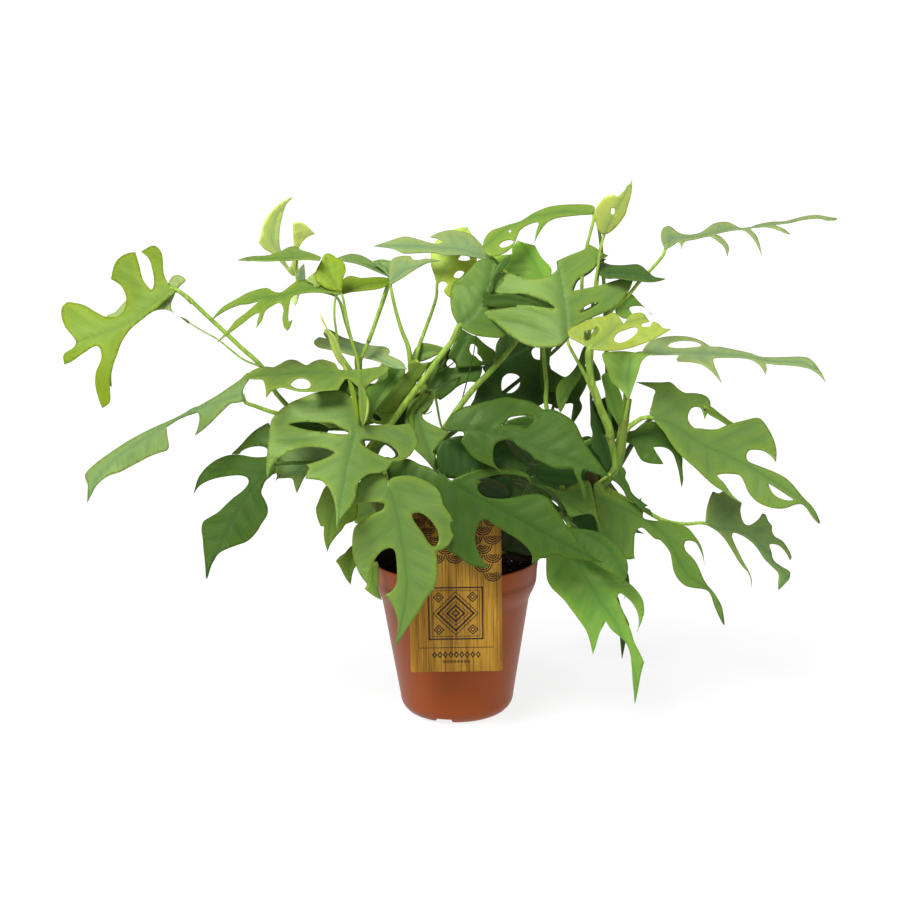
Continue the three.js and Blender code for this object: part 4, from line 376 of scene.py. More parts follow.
leaf("front_left", "left", GREEN, [-76, 0, 0.36, 22, 0.1],
    "-47,169 -43,155 -40,140 -38,125 -36,110 -35,95 -37,78 -41,60 -45.5,46",
    "-64,190,-22 -57,188 -50,180 -47,169",
    """-47,169 -49.7,176 -56.5,177 -61.3,176.3 -65.7,173 -67.8,170.2 -69,165.5 -70,160.3 -71.3,155!
    -66.7,155.6 -60,156 -53.5,156 -50,154.5 -51,151 -53.5,149.5 -58.5,147.2 -63.5,144 -68.5,141 -71.5,138
    -73,133.8 -73.7,127 -73.7,120 -73,114 -71.3,108.8 -69.7,104.4 -67.3,100 -65,96.7 -63.2,94.3! -62.4,101
    -61.2,106 -59.7,110.5 -56.4,115.5 -54,118.5 -50.7,120.7 -46.5,122 -44.5,121.2 -43,118.5 -42.4,114.3
    -42,107.4 -42,102.2 -42.2,97 -43.7,92.7 -46.3,89.3 -51.3,86.5! -48.2,83 -45.9,79 -43.5,72.7 -42.3,65.7
    -42.8,58.7 -44,51.7 -45.5,46! -42.5,50 -38.3,56 -34,63 -30,69 -25.8,75.5 -21,83.8 -17.5,88 -14,94
    -13.2,100 -13,106.8 -13,113.7 -13.4,118.5 -8.3,120.5 -5,123 -2,127.3 -0.4,132.5 -0.3,137.6 -1.5,142.8
    -4.3,148 -7.5,153.3 -9.3,160 -12,165 -17,169.3 -23.5,172.8 -28.3,174.7 -34,175.4 -41.3,174.7
    -45.5,173""",
    """-30.4,146.5 -28,147.7 -24,147.5 -20,145 -15.8,140.5 -12.7,135 -11.3,129.7 -11.8,125.5 -15,122
    -19,125.5 -22.3,131.6 -27,138.5 -29.7,143""")
leaf("front_right", "middle", DEEP, [-70, 0, 0.3, 0, 0.05], "-4,171 20,157 45,143 70,128 90,117 106,109",
    "-9,175,-12 -10,179 -4,171",
    """-4,171 2.8,174 9.5,176.7 17.7,179 23.5,180 30,179.5 36,179 41.5,178.5 48,177.5 53,175 55,169.7
    56,167! 53,171.5 50.5,172.8 44,174.7 36.5,175.3 29,174.5 23.3,172.6 19.2,169.7 17,166.4 18.3,162
    22.3,159 27.3,157.7 35.5,157.3 43.7,158.2 52.7,160 60,160.3 66,158 69.2,155 71.2,150.7 74,147.3 77.3,142
    80.7,136 84,131.8 87.3,125.8 93,119 99.7,113 106.3,108.7! 97.2,109.6 89,110.3 80.7,111.8 72.5,115
    66.7,113.4 61.8,113 59.7,110.4 55.2,108.3! 55.8,114.3 56,112.5 55,116 51.5,121 45.5,126.5 39,131
    32.5,135 26,139.5 21.5,142.5 19.7,141.3 16.8,137 15,132 14.8,126.8 15.7,121.6 17.3,116.4 20.2,111
    22.6,107.2 25,105! 21,106 12.7,107.6 6,111.6 2,115.2 -3,118 -9,124 -13,140 -18,155 -34,163 -44,176
    -46,182 -44.7,186 -38,186.5 -32.4,187.7 -23.5,183.3 -17,181 -10,176""")
leaf("centre", "middle", DEEP, [-64, 0, 0.5, 0, 0.06], "-7,209 20,208 40,203 60,195 85,185 111,173.5",
    "-20,236,-10 -14,237 -12,231 -8.5,212 -7,209",
    """-7,210 -5,213.5 -1,219.3 1.5,221.7 5.5,224 15.5,226.5 28,229.5 36.3,231.2 44.5,230.3 55,228 60.7,225
    64.3,222 70.4,222 76,219.7 84,214.5 87.3,210.7 89.7,205.7 93,198 97,192 102.5,184.4 107.3,177.7
    111,172.7! 105,173.6 97,176.6 92.5,178 91,172 94,164 93.8,154! 91.5,161 89.5,168 86.5,174 84.5,179
    79.8,178.6 72.5,179 65,182.5 60.2,185 57.7,186 55.3,189.3 50.4,192.7 46.3,195.3 43.5,198.7 39.8,200.6
    34.8,200.2 30.7,198.2 28.6,194 28.2,188.2 29.3,183 35.5,175.5! 31,178.7 25.4,181.7 18,185.3 11.6,190.5
    7.6,196.5 5.2,200.3 7.5,204 7,207 0.3,207.3 -5,208""",
    """34.2,211 38,213.5 39.7,216.3 44.7,217.6 52,218 57.3,217.3 57.3,215 55.2,211.2 52.8,209 46.2,210.5
    39.7,211.5""")
leaf("under_centre", "middle", SHADE, [-50, 0, 0.4], "-4,200 10,192 30,180", "-16,190,-16 -4,200",
    """-10,197.3 -0.6,203 12,204 30,204 38,198 41,192 44,188! 50,184 54,180 44,176 30,172 10,172 -8,176
    -12.2,190.5""")
leaf("tucked_centre", "middle", GREEN, [-10, 0, 0.4], "-29,230 -24,215 -18,195 -13.5,179",
    "-20,236,-10 -26,236 -29,230",
    """-29,234 -26,236 -20,235 -13,232.5! -14,228 -17,224 -21.5,220.5 -21,217 -16.5,213.5 -9.5,210 -3,207
    -8,200 -10.6,196.6 -12.7,189 -13.6,182 -13.2,178! -18,184.5 -23,190 -27,193.7! -30,200 -34,215
    -32,225""")
leaf("lower_right", "right", LEAFY, [-58, 0.12, 0.28, 0, 0.12],
    "85.4,114.7 94.4,97.7 103.4,81.7 115.4,63.7 124.4,43.7 130.4,21.7 130.4,1.7",
    "80,145.4,-16.3 83.4,131.7 85.4,114.7",
    """79.4,117.7 66.2,115 65.7,110.7 65.7,102.1 66.4,96.2 69.4,90.2 74.2,85.1 79.1,79.9 83.2,74 89.4,65.2
    94.6,56.9 97.1,49.4 99.3,38.9! 101.7,46.2 104.1,54.7 108.7,64.1! 112.7,57.7 118.7,52.4 123.8,47.2
    126.9,38.7 127.9,30.2 128.4,19.7 129.4,9.7 130.4,-0.3! 132.4,9.7 134.2,21.7 135,25.7 136.6,32.2!
    134,38.5 129.4,48.1 126.9,56.7 123.8,64 120.8,72.5 117.2,79.7 116.7,82 118.7,85.1 122.8,82.9 127.9,77.7
    131.4,71.3 132.8,64.9 132.5,59.7 131.2,55.4! 134,61.7 136.2,69.1 136.3,74.4 135,80.7 130.9,87.1
    125.8,92.5 121.8,95.2 117.4,98.7 111.4,103.7 105.4,108.7 97.4,113.7 89.4,117.7""")
leaf("spread_right", "right", MEADOW, [-44, 0.2, 0.45, 0, 0.08],
    "100,158 120,150 140,138 152,128 160,112 168,98 182,88 194,61", "104,166,-28 102,162 100,158",
    """100,158 100,166.5 102,168.5 106,167 108,162 114.5,159 121,155.5 130,151.5 135.5,148 135,142.3
    142.9,139.3 150,139.2 156,137.8 161.2,136 167.3,133.5 172.4,127.4 176.5,121 178.6,114.6 179.5,108.3
    179.6,104.6! 179,110.4 176.6,116.8 173.5,122.2 170,123.8 166,123.6 165,120.2 166.5,116 170.6,111.6
    173.7,107.4 176.8,101 178.9,95.8 182,90.5 185.2,86.8 189.3,80.8 192.5,74.4 193.8,68 194.7,60! 191.1,67
    187.5,75.7 184.8,83.5 182.3,86.5 178.1,87.7 171,88.6 165.9,90.3 160.8,95.2 157.6,101.7 156.3,109
    155,115.4 151.4,120.8 147.3,125 144.3,125.5 139.2,130.3 135.1,134 132,133.6 129.5,129.4 129,122
    128.8,114.6 129.5,111.4! 125.4,110.5 120,112 112,118 104,130 101,145""")
leaf("drooping_right", "right", SILVER, [-30, 0.5, 0.45, 0, 0.1],
    "181,136.3 190,132.8 200,131.8 212,127.8 222,118.3 232,106.3 240,96.3 234.5,87.3",
    "104,166,-26.7 130,151.3 150,139.3 166,136.3 176,137.1 181,136.3",
    """181,136 180.5,141.3 181,147.6 183,155.1 185,160.2! 189,158.6 192.5,160.1 196,159.3 200.6,155.5
    206,151.2! 205,146.3 205.7,141.1 207.7,136.3 210.7,134.6 214.8,136.3 218.9,139.9 221,143.3 223,142.5
    225,137.7 228,133.5 227.8,130.3 230,126.1 235.2,122.9 239.3,117.5 242.5,110.1 241.5,108! 240,111.3
    236.3,116.5 232.2,119.7 226.5,119.9 228.2,114.5 230.2,108.2 235.4,103.9 240.5,100.6 242,98.5 241.6,94.3
    238.5,90.2 234,85.5! 233.6,92.3 233.4,98.3 228.2,104 223.1,109.3 219,115.7 214.9,121 209.8,125.3
    203.7,128.6 200.3,129.1 199.3,126.5 201.7,120.1 204.8,113.7 207.9,107.3 212,99.9 214,93.6 214.3,87.8!
    213.3,94.7 211,99.9 208.4,102.6 204.8,107.3 199.7,115.9 194.5,124.3 189.4,130.2 184.3,133.9""")
leaf("under_right", "right", MIDDLE, [-56, 0, 0.4], "85,137 100,127 112,118 123,98",
    "80,146,-18 83,142 85,137",
    """81.5,135 89,134.5 97.3,133 105.5,130.5 112,125.3 118.6,119.3 123,112 124.8,105 124,98.5 122,92.5!
    115,98 106,104 98,109 90,114 82,122""")
leaf("inner_right", "right", MEADOW, [-46, 0, 0.4], "60,168 76,158 92,146 106,132",
    "80,146,-18 70,160 60,168",
    """51,173 57,169 67.5,166 76.5,163 88,168.5 96,169.5 98.5,164 101,151 105,132! 102.5,138.5 98.5,144.5
    90.5,144.5 83,143 79,150 74,158 67.5,163.5 60,165.5""")
leaf("edge_right", "right", DEEP, [-36, 0, 0.4], "117,175.5 122.5,166.5 131,155.5 141,144.5",
    "115,176,-32 117,175.5",
    """114.5,175.5 119,180! 121,179 123,175.5 122.5,171.5 125,166.5 127.5,160 132.5,155.5 134.5,157!
    134,154.5 139,150.5! 136.5,149.5 140.5,147.5 142.5,141.5! 137.5,145 132.5,149 128,153.5 123.5,157
    121,162 117,167 112,171 112.5,173.5""")
leaf("dark_shelf_left", "left", SAGE, [8, 0, 1.4], "-84,273 -65,267 -36,253", "-66,244,-24 -80,266 -84,273",
    """-97,273 -93,276.5 -88,275.5 -90,279 -87.5,282 -83,280.5 -78,277 -70,274 -59,270.5 -52,269.5 -47.5,269
    -44.5,267.5 -43.5,265.5 -44.5,264 -46,264 -41.5,261.5 -36.5,259 -33.5,256 -32,253! -44,255 -52,259
    -60,261 -70,263 -79,266 -88,268 -94,269.5""")
leaf("dark_centre", "middle", MIDDLE, [16, 0, 0.5], "-16,236 -8,248 6,250 22,252", "-20,236,-10 -16,236",
    """-22,236 -21,246 -16,256 -9,263 -3,267 4,262 8,256 14,255 22,254 21.5,253.5 20.5,248.5 17.5,243
    11.5,243 4.5,240 -3,234 -9,230 -10,231 -15,231.5""", "-4,256 -2,259.5 1,258 3,254 -2,253.5")
leaf("dark_middle", "middle", BOTTLE, [40, 0, 0.5], "21.5,253.5 40,261.5 57,271",
    "-20,236,-10 0,244 21.5,253.5",
    """30.5,264.5 31.5,270 35,275 42,276.5 54,272.5 64,271 66.5,266 66,259 66,248.5 66,229 58,224 31.5,224.5
    13,225.5 15,230 17.5,237.5 20.5,242 23.5,248 21.5,253.5 25.5,256.5 29.5,259.5""",
    "56,264 57,266 61,267.5 63,266 63.5,258.5 61,258 57.5,259.5",
    "35,236 35.5,245 40,248.5 47,246.5 47.5,240 43,235 38,234.5")
leaf("dark_inner_right", "right", BOTTLE, [24, 0, 0.5], "73,229 80.5,236 91.5,251.5",
    "70,205,-8 70,216 73,229",
    """62.5,252 68.5,252.5 72,248.5 76,246 80.5,245.5 84.5,247.5 90,256 95,251.5 96.5,246 94.5,238.5
    92,233.5 90,229.5 91.5,225 91.5,222 88.5,216.5 85.5,212! 84,214.5 84.5,219.5 85,223 85,226 80.5,226
    76,223.5 73.5,222.5 70.5,225.5 66,227 63.5,230.5 62.5,240""")
leaf("rolled_left", "middle", MOSS, [-11, 0, 0.1, 0, 0.1], "-23,256 -34,243.5 -50,225",
    "-29,256,0 -25,258.5 -23,256",
    """-54,222.5 -52.5,226 -49,231 -44,237 -39,242.5 -34,248.5 -31,251.5 -30.5,257 -27,258 -21,257
    -14.5,258! -17,254.5 -22,247 -25,243.5 -27,238.5 -31,235 -36.5,229 -41,221.5 -45.5,221 -50.5,221""")
leaf("dark_fan_left", "left", LEAFY, [-6, 0, 0.5], "-60,218 -52,234 -38,252", "-66,212,-26 -64,215 -60,218",
    """-60,214 -56,221 -52,225 -46,232 -39,240 -35,246 -33,252 -36,257 -42,258 -45,253 -46,247 -53,243
    -61,239 -60,229 -63,219""")
leaf("dark_fan_middle", "middle", GREEN, [10, 0, 0.4], "-27,261 -18,266 -7,266",
    "-29,256,0 -29,259 -27,261", "-28,259 -27,265 -22,271 -14,270.5 -5,267 -10,263 -22,258")
leaf("lime_scrap", "middle", LIME, [-8, 0, 0.3], "-24,222 -20,230 -21,235", "-15,222,-17 -19,220 -24,222",
    "-26,234 -22,235.5 -15,230 -16,225 -19,221 -23,220 -26,226")
leaf("hanging_right", "right", MEADOW, [-6, 0, 0.2, 0, 0.1], "95,265 88,248 77,228",
    "105,221,-25 99,245 95,265",
    "93,267 97,265.5 97,260 94,254 91,245 85,236 80,226 76,220 73,235 77,244 82,246.5 88,254")
leaf("dark_forked_right", "right", BOTTLE, [-12, 0, 0.2], "112,178 106,198 102,215", "115,176,-32 112,178",
    """97,239.5! 98.5,239.5! 99,229 100,220.5 102,217 104.5,210.5 107.5,202.5 110.5,198.5 114.5,193.5
    114.5,185.5 112,177.5 109.5,175.5! 106.5,180 103.5,187 99,192 98,199 99,204 97.5,210.5 97.5,217
    97,229""")
leaf("torn_right", "right", LEAFY, [-6, 0.3, 0.4], "121,292 128,297 140,290",
    "105,221,-25 99.5,240 97.5,256 99,275 108,286 121,292",
    """115,292 118,297 123,303 126,304 130,300 135,295 141,289! 135,294.5 130,295.5 125,294 127,288
    121,286.5""")
leaf("far_left_back", "left", SAGE, [19, -0.2, 0.6, 0, 0.05], "-197,312 -209,301 -225.5,291 -239.5,283.5",
    "-181,302.8,10.5 -187.5,309 -192,311.5 -197,312",
    """-195.5,319.5 -192.5,322 -188,321.5 -185,318.5 -188.5,315 -192,311 -194,306.5 -196,302 -195.5,297.5
    -194,295! -198,297.5 -203.5,298 -208.5,297 -215.5,293 -223.5,287 -230.5,283.5 -236.5,271.5 -239,262.5
    -240.5,250.5 -240.5,243.5! -243,245 -243.5,259.5 -243.5,274.5 -245,283.5 -242.5,292 -240.5,294.5
    -235.5,296.5 -228.5,303.5 -225,305.5 -214.5,305.5 -204,311 -198,315.5""")
leaf("dark_gap_right", "right", GREEN, [8, 0, 0.3], "72,297 62,298 48,300",
    "97,262,-14 90,280 80,292 72,297",
    """43,307.5 48.5,307 56.5,305 64,302.5 72,298.5 74.5,293.5 71,289.5 62,289 52,289.5 44,290.5 41,296
    41,300 42,303""")
leaf("dark_fold", "middle", MIDDLE, [22, 0, 0.4], "0.5,256.5 4.5,265 11,278",
    "-20,236,-10 -16,246 0.5,256.5",
    """5,282.5 8,280.5 14.5,276.5 18,275 22,271 26.5,267.5 29.5,265.5 31,262.5 30,259 25.5,256 21.5,254.5
    11.5,253.5 2.5,253.5 3,256.5 0.5,260.5 -2.5,261 -1.5,265 2.5,273""",
    "13.5,270 16.5,269.5 18,266.5 18,263 20,261 21.5,257.5 19,258.5 17,261 14,262.5 12.5,265.5")
leaf("dark_lobe_right", "right", MIDDLE, [27, 0, 0.5], "69,249 68.5,259 67,268",
    "70,205,-8 66,226 66.4,239 69,249",
    """63,271.5 71,271.5 72.5,268.5 70,265 69,259 69,252.5 73,249 77.5,246 81.5,244 78,236 70.5,234.5
    63.5,237.5 62,250.5 62,261.5""")
leaf("chip_right", "right", GREEN, [-4, 0, 0.3], "99.5,246 101,253", "97.5,250,-14 98.5,240 99.5,246",
    "97,263 99.5,257.5 102,253 104.5,247 105,243! 102,242 98.5,242 96.5,246.5 96,257.5")
# Painted shade: dark sheets set in the deep shadow between the blades.
leaf("deep_chip_right", "right", SHADE_NIGHT, [-14, 0, 0.2], "114.5,206.5 112.5,215.5 108.5,226",
    "112,200,-28 115.5,201 114.5,206.5",
    "104.5,228 110.5,227.5 114,220 120,213 119.5,206.5 117,202.5 113,204 108.5,214.5 106,222.5")
leaf("deep_centre", "middle", SHADE_NIGHT, [-20, 0, 0.3], "17,168 26,164 36,160", "-9,175,-12 4,173 17,168",
    "14,162 13,172 20,179 32,178 42,170 41,158 30,152 19,154")
leaf("deep_right", "right", SHADE, [2, 0, 0.2], "101,160 90.5,163 72.5,167", "80,146,-18 102,153.5 101,160",
    """54.5,173 65,174 76.5,172 90.5,169.5 101,165.5 103,161.5 101,153.5 103.5,142.5 107.5,132 116.5,122.5
    125,114 123.5,111 114,118.5 101,126.5 88,133 80.5,138 75,146 70,151.5 63.5,159.5 57,166""",
    "69,158 71.5,159.5 75,158.5 78,155 78,152.5 75,151 72.5,152.5 70,155.5")
leaf("slot_left", "left", APPLE, [-2, 0, 0.2], "-53,152.5 -60,150 -68,146", "-57,155,-14 -53,152.5",
    """-74.5,157 -66.5,157 -58,157.5 -49,156.5 -48,150.5 -53,147 -63.5,143.5 -68,141 -71,140.5 -72,143.5
    -73.5,151""")
leaf("dark_fill_left", "left", APPLE, [14, 0, 0.5], "-57,227 -50,238 -39,251",
    "-66,212,-26 -68,222 -57,227",
    """-63,238 -58,241 -53.5,244 -52,247.5 -51.5,252 -51,255 -50,257 -48,256.5 -43.5,254.5 -40,253.5
    -38.5,254.5 -36.5,253.5 -33.5,250 -30,247.5 -27,242.5 -31,232.5 -37.5,224.5 -43.5,218.5 -45.5,213.5
    -54.5,213.5 -57.5,215 -62.5,213.5 -61,221 -60.5,227 -61.5,232""",
    "-57,221 -54.5,221 -51,218 -50.5,216 -54.5,216 -56.5,218")
leaf("bar_right", "right", MOSS, [-12, 0.3, 0.7], "182.5,220 191,214.5 199.5,207", "178,222,-13 182.5,220",
    "178,223.5 183,222.5 189.5,217.5 196,212.5 201,208.5 200.5,204.5 194.5,209 187.5,213.5 181,217.5")
leaf("sheath_left", "left", STRAWLIGHT, [-26, 0, 0.05], "-77,257 -83,274 -88,281.5",
    "-67,231,-25 -73.5,249.5 -77,257",
    """-92.5,294.5! -91.5,293 -89,287.5 -87,282.5 -85,280.5 -82,277 -80,272 -77.5,264.5 -76.5,259
    -73.5,251.5 -75.5,251.5 -78,256 -80.5,259 -84,266.5 -85.5,272 -87,277.5 -89,279.5 -89.5,281.5 -88,282.5
    -90.5,287.5""")
leaf("shoots_left", "left", SHOOT, [-6, 0, 0.3], "-106.5,311 -105,318.5 -103.5,324.5",
    "-92,313,-15 -100,311 -106.5,311",
    """-108,318 -106.5,323 -105.5,325.5 -102,329! -101.5,323 -101.5,318 -102.5,314.5 -106,306.5 -107.5,302
    -109,299! -111.5,302.5 -112.5,306 -110.5,311""")
leaf("flap_left", "left", STRAW, [-14, 0, 0.5], "-91.5,314.5 -95,316.5 -98.5,318",
    "-92,313,-15 -91.5,314.5", "-101,317.5 -98.5,320 -94,323! -92.5,320 -90.5,314.5 -92.5,312.5 -98,315.5")
# Small leaves and sheaths that the plain model leaves out: they close the gaps between the blades, and the
# darkest of them are painted shade.
leaf("spent_left", "left", MOSS, [0, 0, 0.2], "-184,288.5 -190,292.5",
    "-134,256,-8 -146,261 -156,269 -164,276 -175,282.5 -184,288.5",
    "-184.3,287.6 -184,289.3 -187,291.6 -191,293! -187.5,290.2")
leaf("sheath_front", "left", FRESH, [-66, 0, 0.25], "-63.7,215.8 -63.5,225.3 -64.3,239.4 -65.3,253.4",
    "-66,214,-26 -64.6,211.5 -63.7,215.8",
    """-66.5,253.4! -64.3,253.4! -63.8,248.7 -63.3,241.2 -61.5,238.4 -60.4,229 -60.8,221.5 -63.6,212.5!
    -65.6,216.8 -66.4,225.3 -66.5,236.6 -66.7,246""")
leaf("sheath_inner", "left", ACID, [-65.4, 0, 0.25], "-67,216.8 -68.7,225.3 -70,234.8 -72.5,244.2",
    "-66,214,-26 -66,212.5 -67,216.8",
    """-73.8,245.7! -71.8,244.6 -69.7,240.4 -68.3,233.8 -67.2,226.3 -66.8,220.6 -66.7,215.4! -68.8,220.6
    -70.6,229.1 -72.2,236.7""")
leaf("sheath_edge", "left", STRAWLIGHT, [-67.5, 0, 0.3], "-63,214 -59.5,222 -59.6,231 -62.6,238.5",
    "-66,214,-26 -64,212 -63,214",
    "-64,212.5! -61.6,216.5 -59.6,222.5 -59.4,230.5 -61,235 -62.9,239.2! -61.2,231.5 -61.2,224 -62.4,218")
leaf("dark_slot_left", "left", DEEP, [-42, 0, 0.3], "-89,210 -103,212 -117,215",
    "-66,214,-26 -78,211 -89,210",
    "-118,217 -108,218 -98,216 -88,210.5 -93,206 -103,207.5 -112,210 -118,214")
leaf("dark_nook_left", "left", SHADE, [20, 0, 0.3], "-58,216 -54,228 -50,240",
    "-66,212,-26 -62,213 -58,216",
    "-64,241 -44.3,241 -40,228.3 -45.7,218.4 -55.6,214.1 -62.6,214.1 -65.4,228.3")
leaf("fold_shadow", "left", MIDDLE, [-7, 0, 0.55], "24.5,303.5 29,313 35.5,323.5 40.5,331",
    "22.5,300,-4 24.5,303.5",
    """39.8,332.1! 42.6,333.5! 39.1,325.7 33.5,319.4 30.6,315.1 29.2,308.8 25.7,302.4! 22.2,303.1 23.6,308.1
    27.1,314.4 30.6,322.2 34.9,328.6""")
leaf("crumpled_middle", "middle", DEEP, [-9, 0, 0.3], "26,302 40,302 55,299.5 72,292",
    "5.7,226.3,14 15,262 20,290 26,302",
    "23,308 29,305 38,306 48,304 59,300 69,295 73,291 68,291 55,295 43,296 31,296 24,298")
leaf("dark_gap_middle", "middle", SHADE, [-22, 0, 0.2], "60,175 80,173 103,170", "46,150,-10 52,164 60,175",
    "60,183 69,181 79,179.5 90,178.5 103,175 104,168 94,166 83,166 73,167 64,169 58,175")
# Painted shade: near-black sheets over and behind the card, where the pot's inside lies in shadow.
leaf("dark_over_card", "middle", SHADE_PITCH, [-70, 0, 0.1], "16,171 25,165 36,160",
    "-9,175,-12 2,186 12,182 16,171", "14,166 15,171 22,173 30,171 38,166 38,156 29,153.5 20,155 14,160")
leaf("dark_behind_card", "middle", SHADE_PITCH, [-30], "38,124 40,134 32,145", "-4,140,0 20,128 38,124",
    "27,148 37,144 46,137 54,129 60,120 56,115 45,116 36,118 27,122")
leaf("scar_right", "right", SCAR, [-34, 0, 0.2, 0, 0.4], "99.5,166 99.5,171 99,176",
    "115,176,-32 106,170 99.5,166", "94,175 99,177 104,174 105,168 102,164 97,164 94,169")
# Painted shade: dark sheets in the shadow between the right-hand stems.
leaf("dark_stem_gap", "right", SHADE, [5], "111,203 104,216 99.5,227", "112,200,-28 111,203",
    "99,228! 104,227 107,220 110,210 112,199! 109,196 104,203 101,214 98,221")
leaf("dark_wedge_right", "right", SHADE_NIGHT, [10], "112,207 109,228", "112,200,-28 112,207",
    "104,227 109,230 114,221 119,212 117,202 111,205 107,215")
leaf("dark_low_gap", "right", SHADE, [8], "110,176 98,198", "115,176,-32 110,176",
    "89,200 97,202 104,194 107,183 113,173 107,172 102,182 94,190 88,194")
leaf("strap_right", "right", LEAFY, [0], "106,202 90,195", "112,200,-28 106,202",
    "87.5,193 88.5,196 106.5,203.5 107,200.3")
leaf("dark_under_left", "left", DEEP, [-35, 0, 0.6], "-66,246 -76,244", "-66,236,-24 -65,241 -66,246",
    "-84,246.5! -75,248 -66,247.5 -61.5,242 -63,235! -71,233.5 -77,236.5 -82,239! -84,242")
leaf("dark_hole_centre", "middle", DEEP, [-30, 0, 0.3], "55,212 38,211", "-9,175,-12 10,196 26,206 55,212",
    "35,212 40,215 48,217 58,218 59,212 51,207 39,207")
leaf("strip_left", "left", MEADOW, [-34, 0, 0.2], "-57,192 -46,203", "-46,160,-12 -52,178 -57,192",
    "-59,190 -56,201 -46,205 -44,202 -51,196 -55,189")
leaf("dark_nook_middle", "middle", SHADE, [26, 0, 0.3], "-36,225 -39,215", "-20,236,-10 -30,232 -36,225",
    "-43,228 -37,229 -30,226 -30,213 -40,211 -45,218")
leaf("bud_left", "left", SILVER, [24, 0, 0.8], "-40,321 -49,328", "-43,316,12 -40,321",
    "-55,329 -49,331 -43,330 -37,328 -38,321 -42,318 -47,323 -52,327")

# Leaves behind: copies of leaves above, shrunk about their own middle and set back, each with its own stalk.
# name, leaf copied, scale, shift [x, z], depth, stem, root of its stalk.
BEHIND = [
    ["back_broad_left", "broad_left", 0.9, [2, 0], [72, -0.9, -0.4, 10, -0.15], "left", "-64,185,-20"],
    ["back_hooked_left", "hooked_left", 1, [0, 0], [30, -0.5, -0.5, 10, -0.2], "left", "-60,167,-17"],
    ["back_level_left", "level_left", 1, [0, 0], [62, -0.2, -1.8, 0, 0], "left", "-66,240,-24"],
    ["back_front_left", "front_left", 0.84, [0, 10], [88, 0.5, -0.3, 10, -0.15], "left", "-46,130,-7"],
    ["back_front_right", "front_right", 0.9, [2, -4], [76, 0.3, -0.5, 12, -0.15], "middle", "-4,140,0"],
    ["back_centre", "centre", 0.88, [16, -18], [96, 0.5, -0.6, 10, -0.15], "middle", "-9,175,-12"],
    ["back_top", "broad_top", 0.9, [2, 0], [90, 0.2, -0.8, 0, -0.1], "middle", "-18,192,-16"],
    ["back_folded", "folded_green", 0.84, [2, 0], [56, -0.3, -0.8, 0, -0.1], "middle", "-20,236,-10"],
    ["back_broad_right", "broad_right", 1, [0, 0], [46, 0.5, -0.5, 12, -0.2], "right", "115,176,-32"],
    ["back_spread_right", "spread_right", 1, [0, 0], [34, 0.4, -0.3, 8, -0.15], "right", "80,146,-18"],
    ["back_lower_right", "lower_right", 0.8, [-6, 22], [70, -0.4, -0.2, 0, -0.15], "right", "46,125,-6"],
    ["back_arching", "arching_top", 1, [0, 0], [92, -0.2, -0.8, 0, 0], "right", "112,200,-28"],
    ["far_back_left", "broad_left", 0.72, [34, -36], [132, 0.3, -0.6, 10, -0.15], "left", "-46,130,-7"],
    ["far_back_right", "front_right", 0.8, [44, 14], [160, 0.4, -0.4, 10, -0.15], "middle", "-4,140,0"],
]


def shrunk(points, centre, scale, shift):
    return [
        Point([c + (p - c) * scale + s for p, c, s in zip(point, centre, shift)], point.corner)
        for point in points
    ]


for name, copied, scale, shift, depth, stem, root in BEHIND:
    source = LEAVES[copied]
    centre = np.mean([p[:2] for p in source["edge"]], axis=0)
    rib, edge, *holes = [
        shrunk(points, centre, scale, shift) for points in (source["rib"], source["edge"], *source["holes"])
    ]
    LEAVES[name] = {
        "stem": stem, "tone": seeded(name + "tone").choice((GREEN, MOSS, MEADOW, LEAFY)), "depth": depth,
        "rib": rib, "stalk": [*drawn(root), rib[0]], "edge": edge, "holes": holes, "behind": True,
    }

# ---------------------------------------------------------------- materials


def linear(colour):
    """A hex sRGB colour as linear red, green and blue."""
    parts = [int(colour[i:i + 2], 16) / 255 for i in (0, 2, 4)]
    return [c / 12.92 if c <= 0.04045 else ((c + 0.055) / 1.055) ** 2.4 for c in parts]


def scaled(colour, factor):
    return [min(1.0, c * factor) for c in colour]


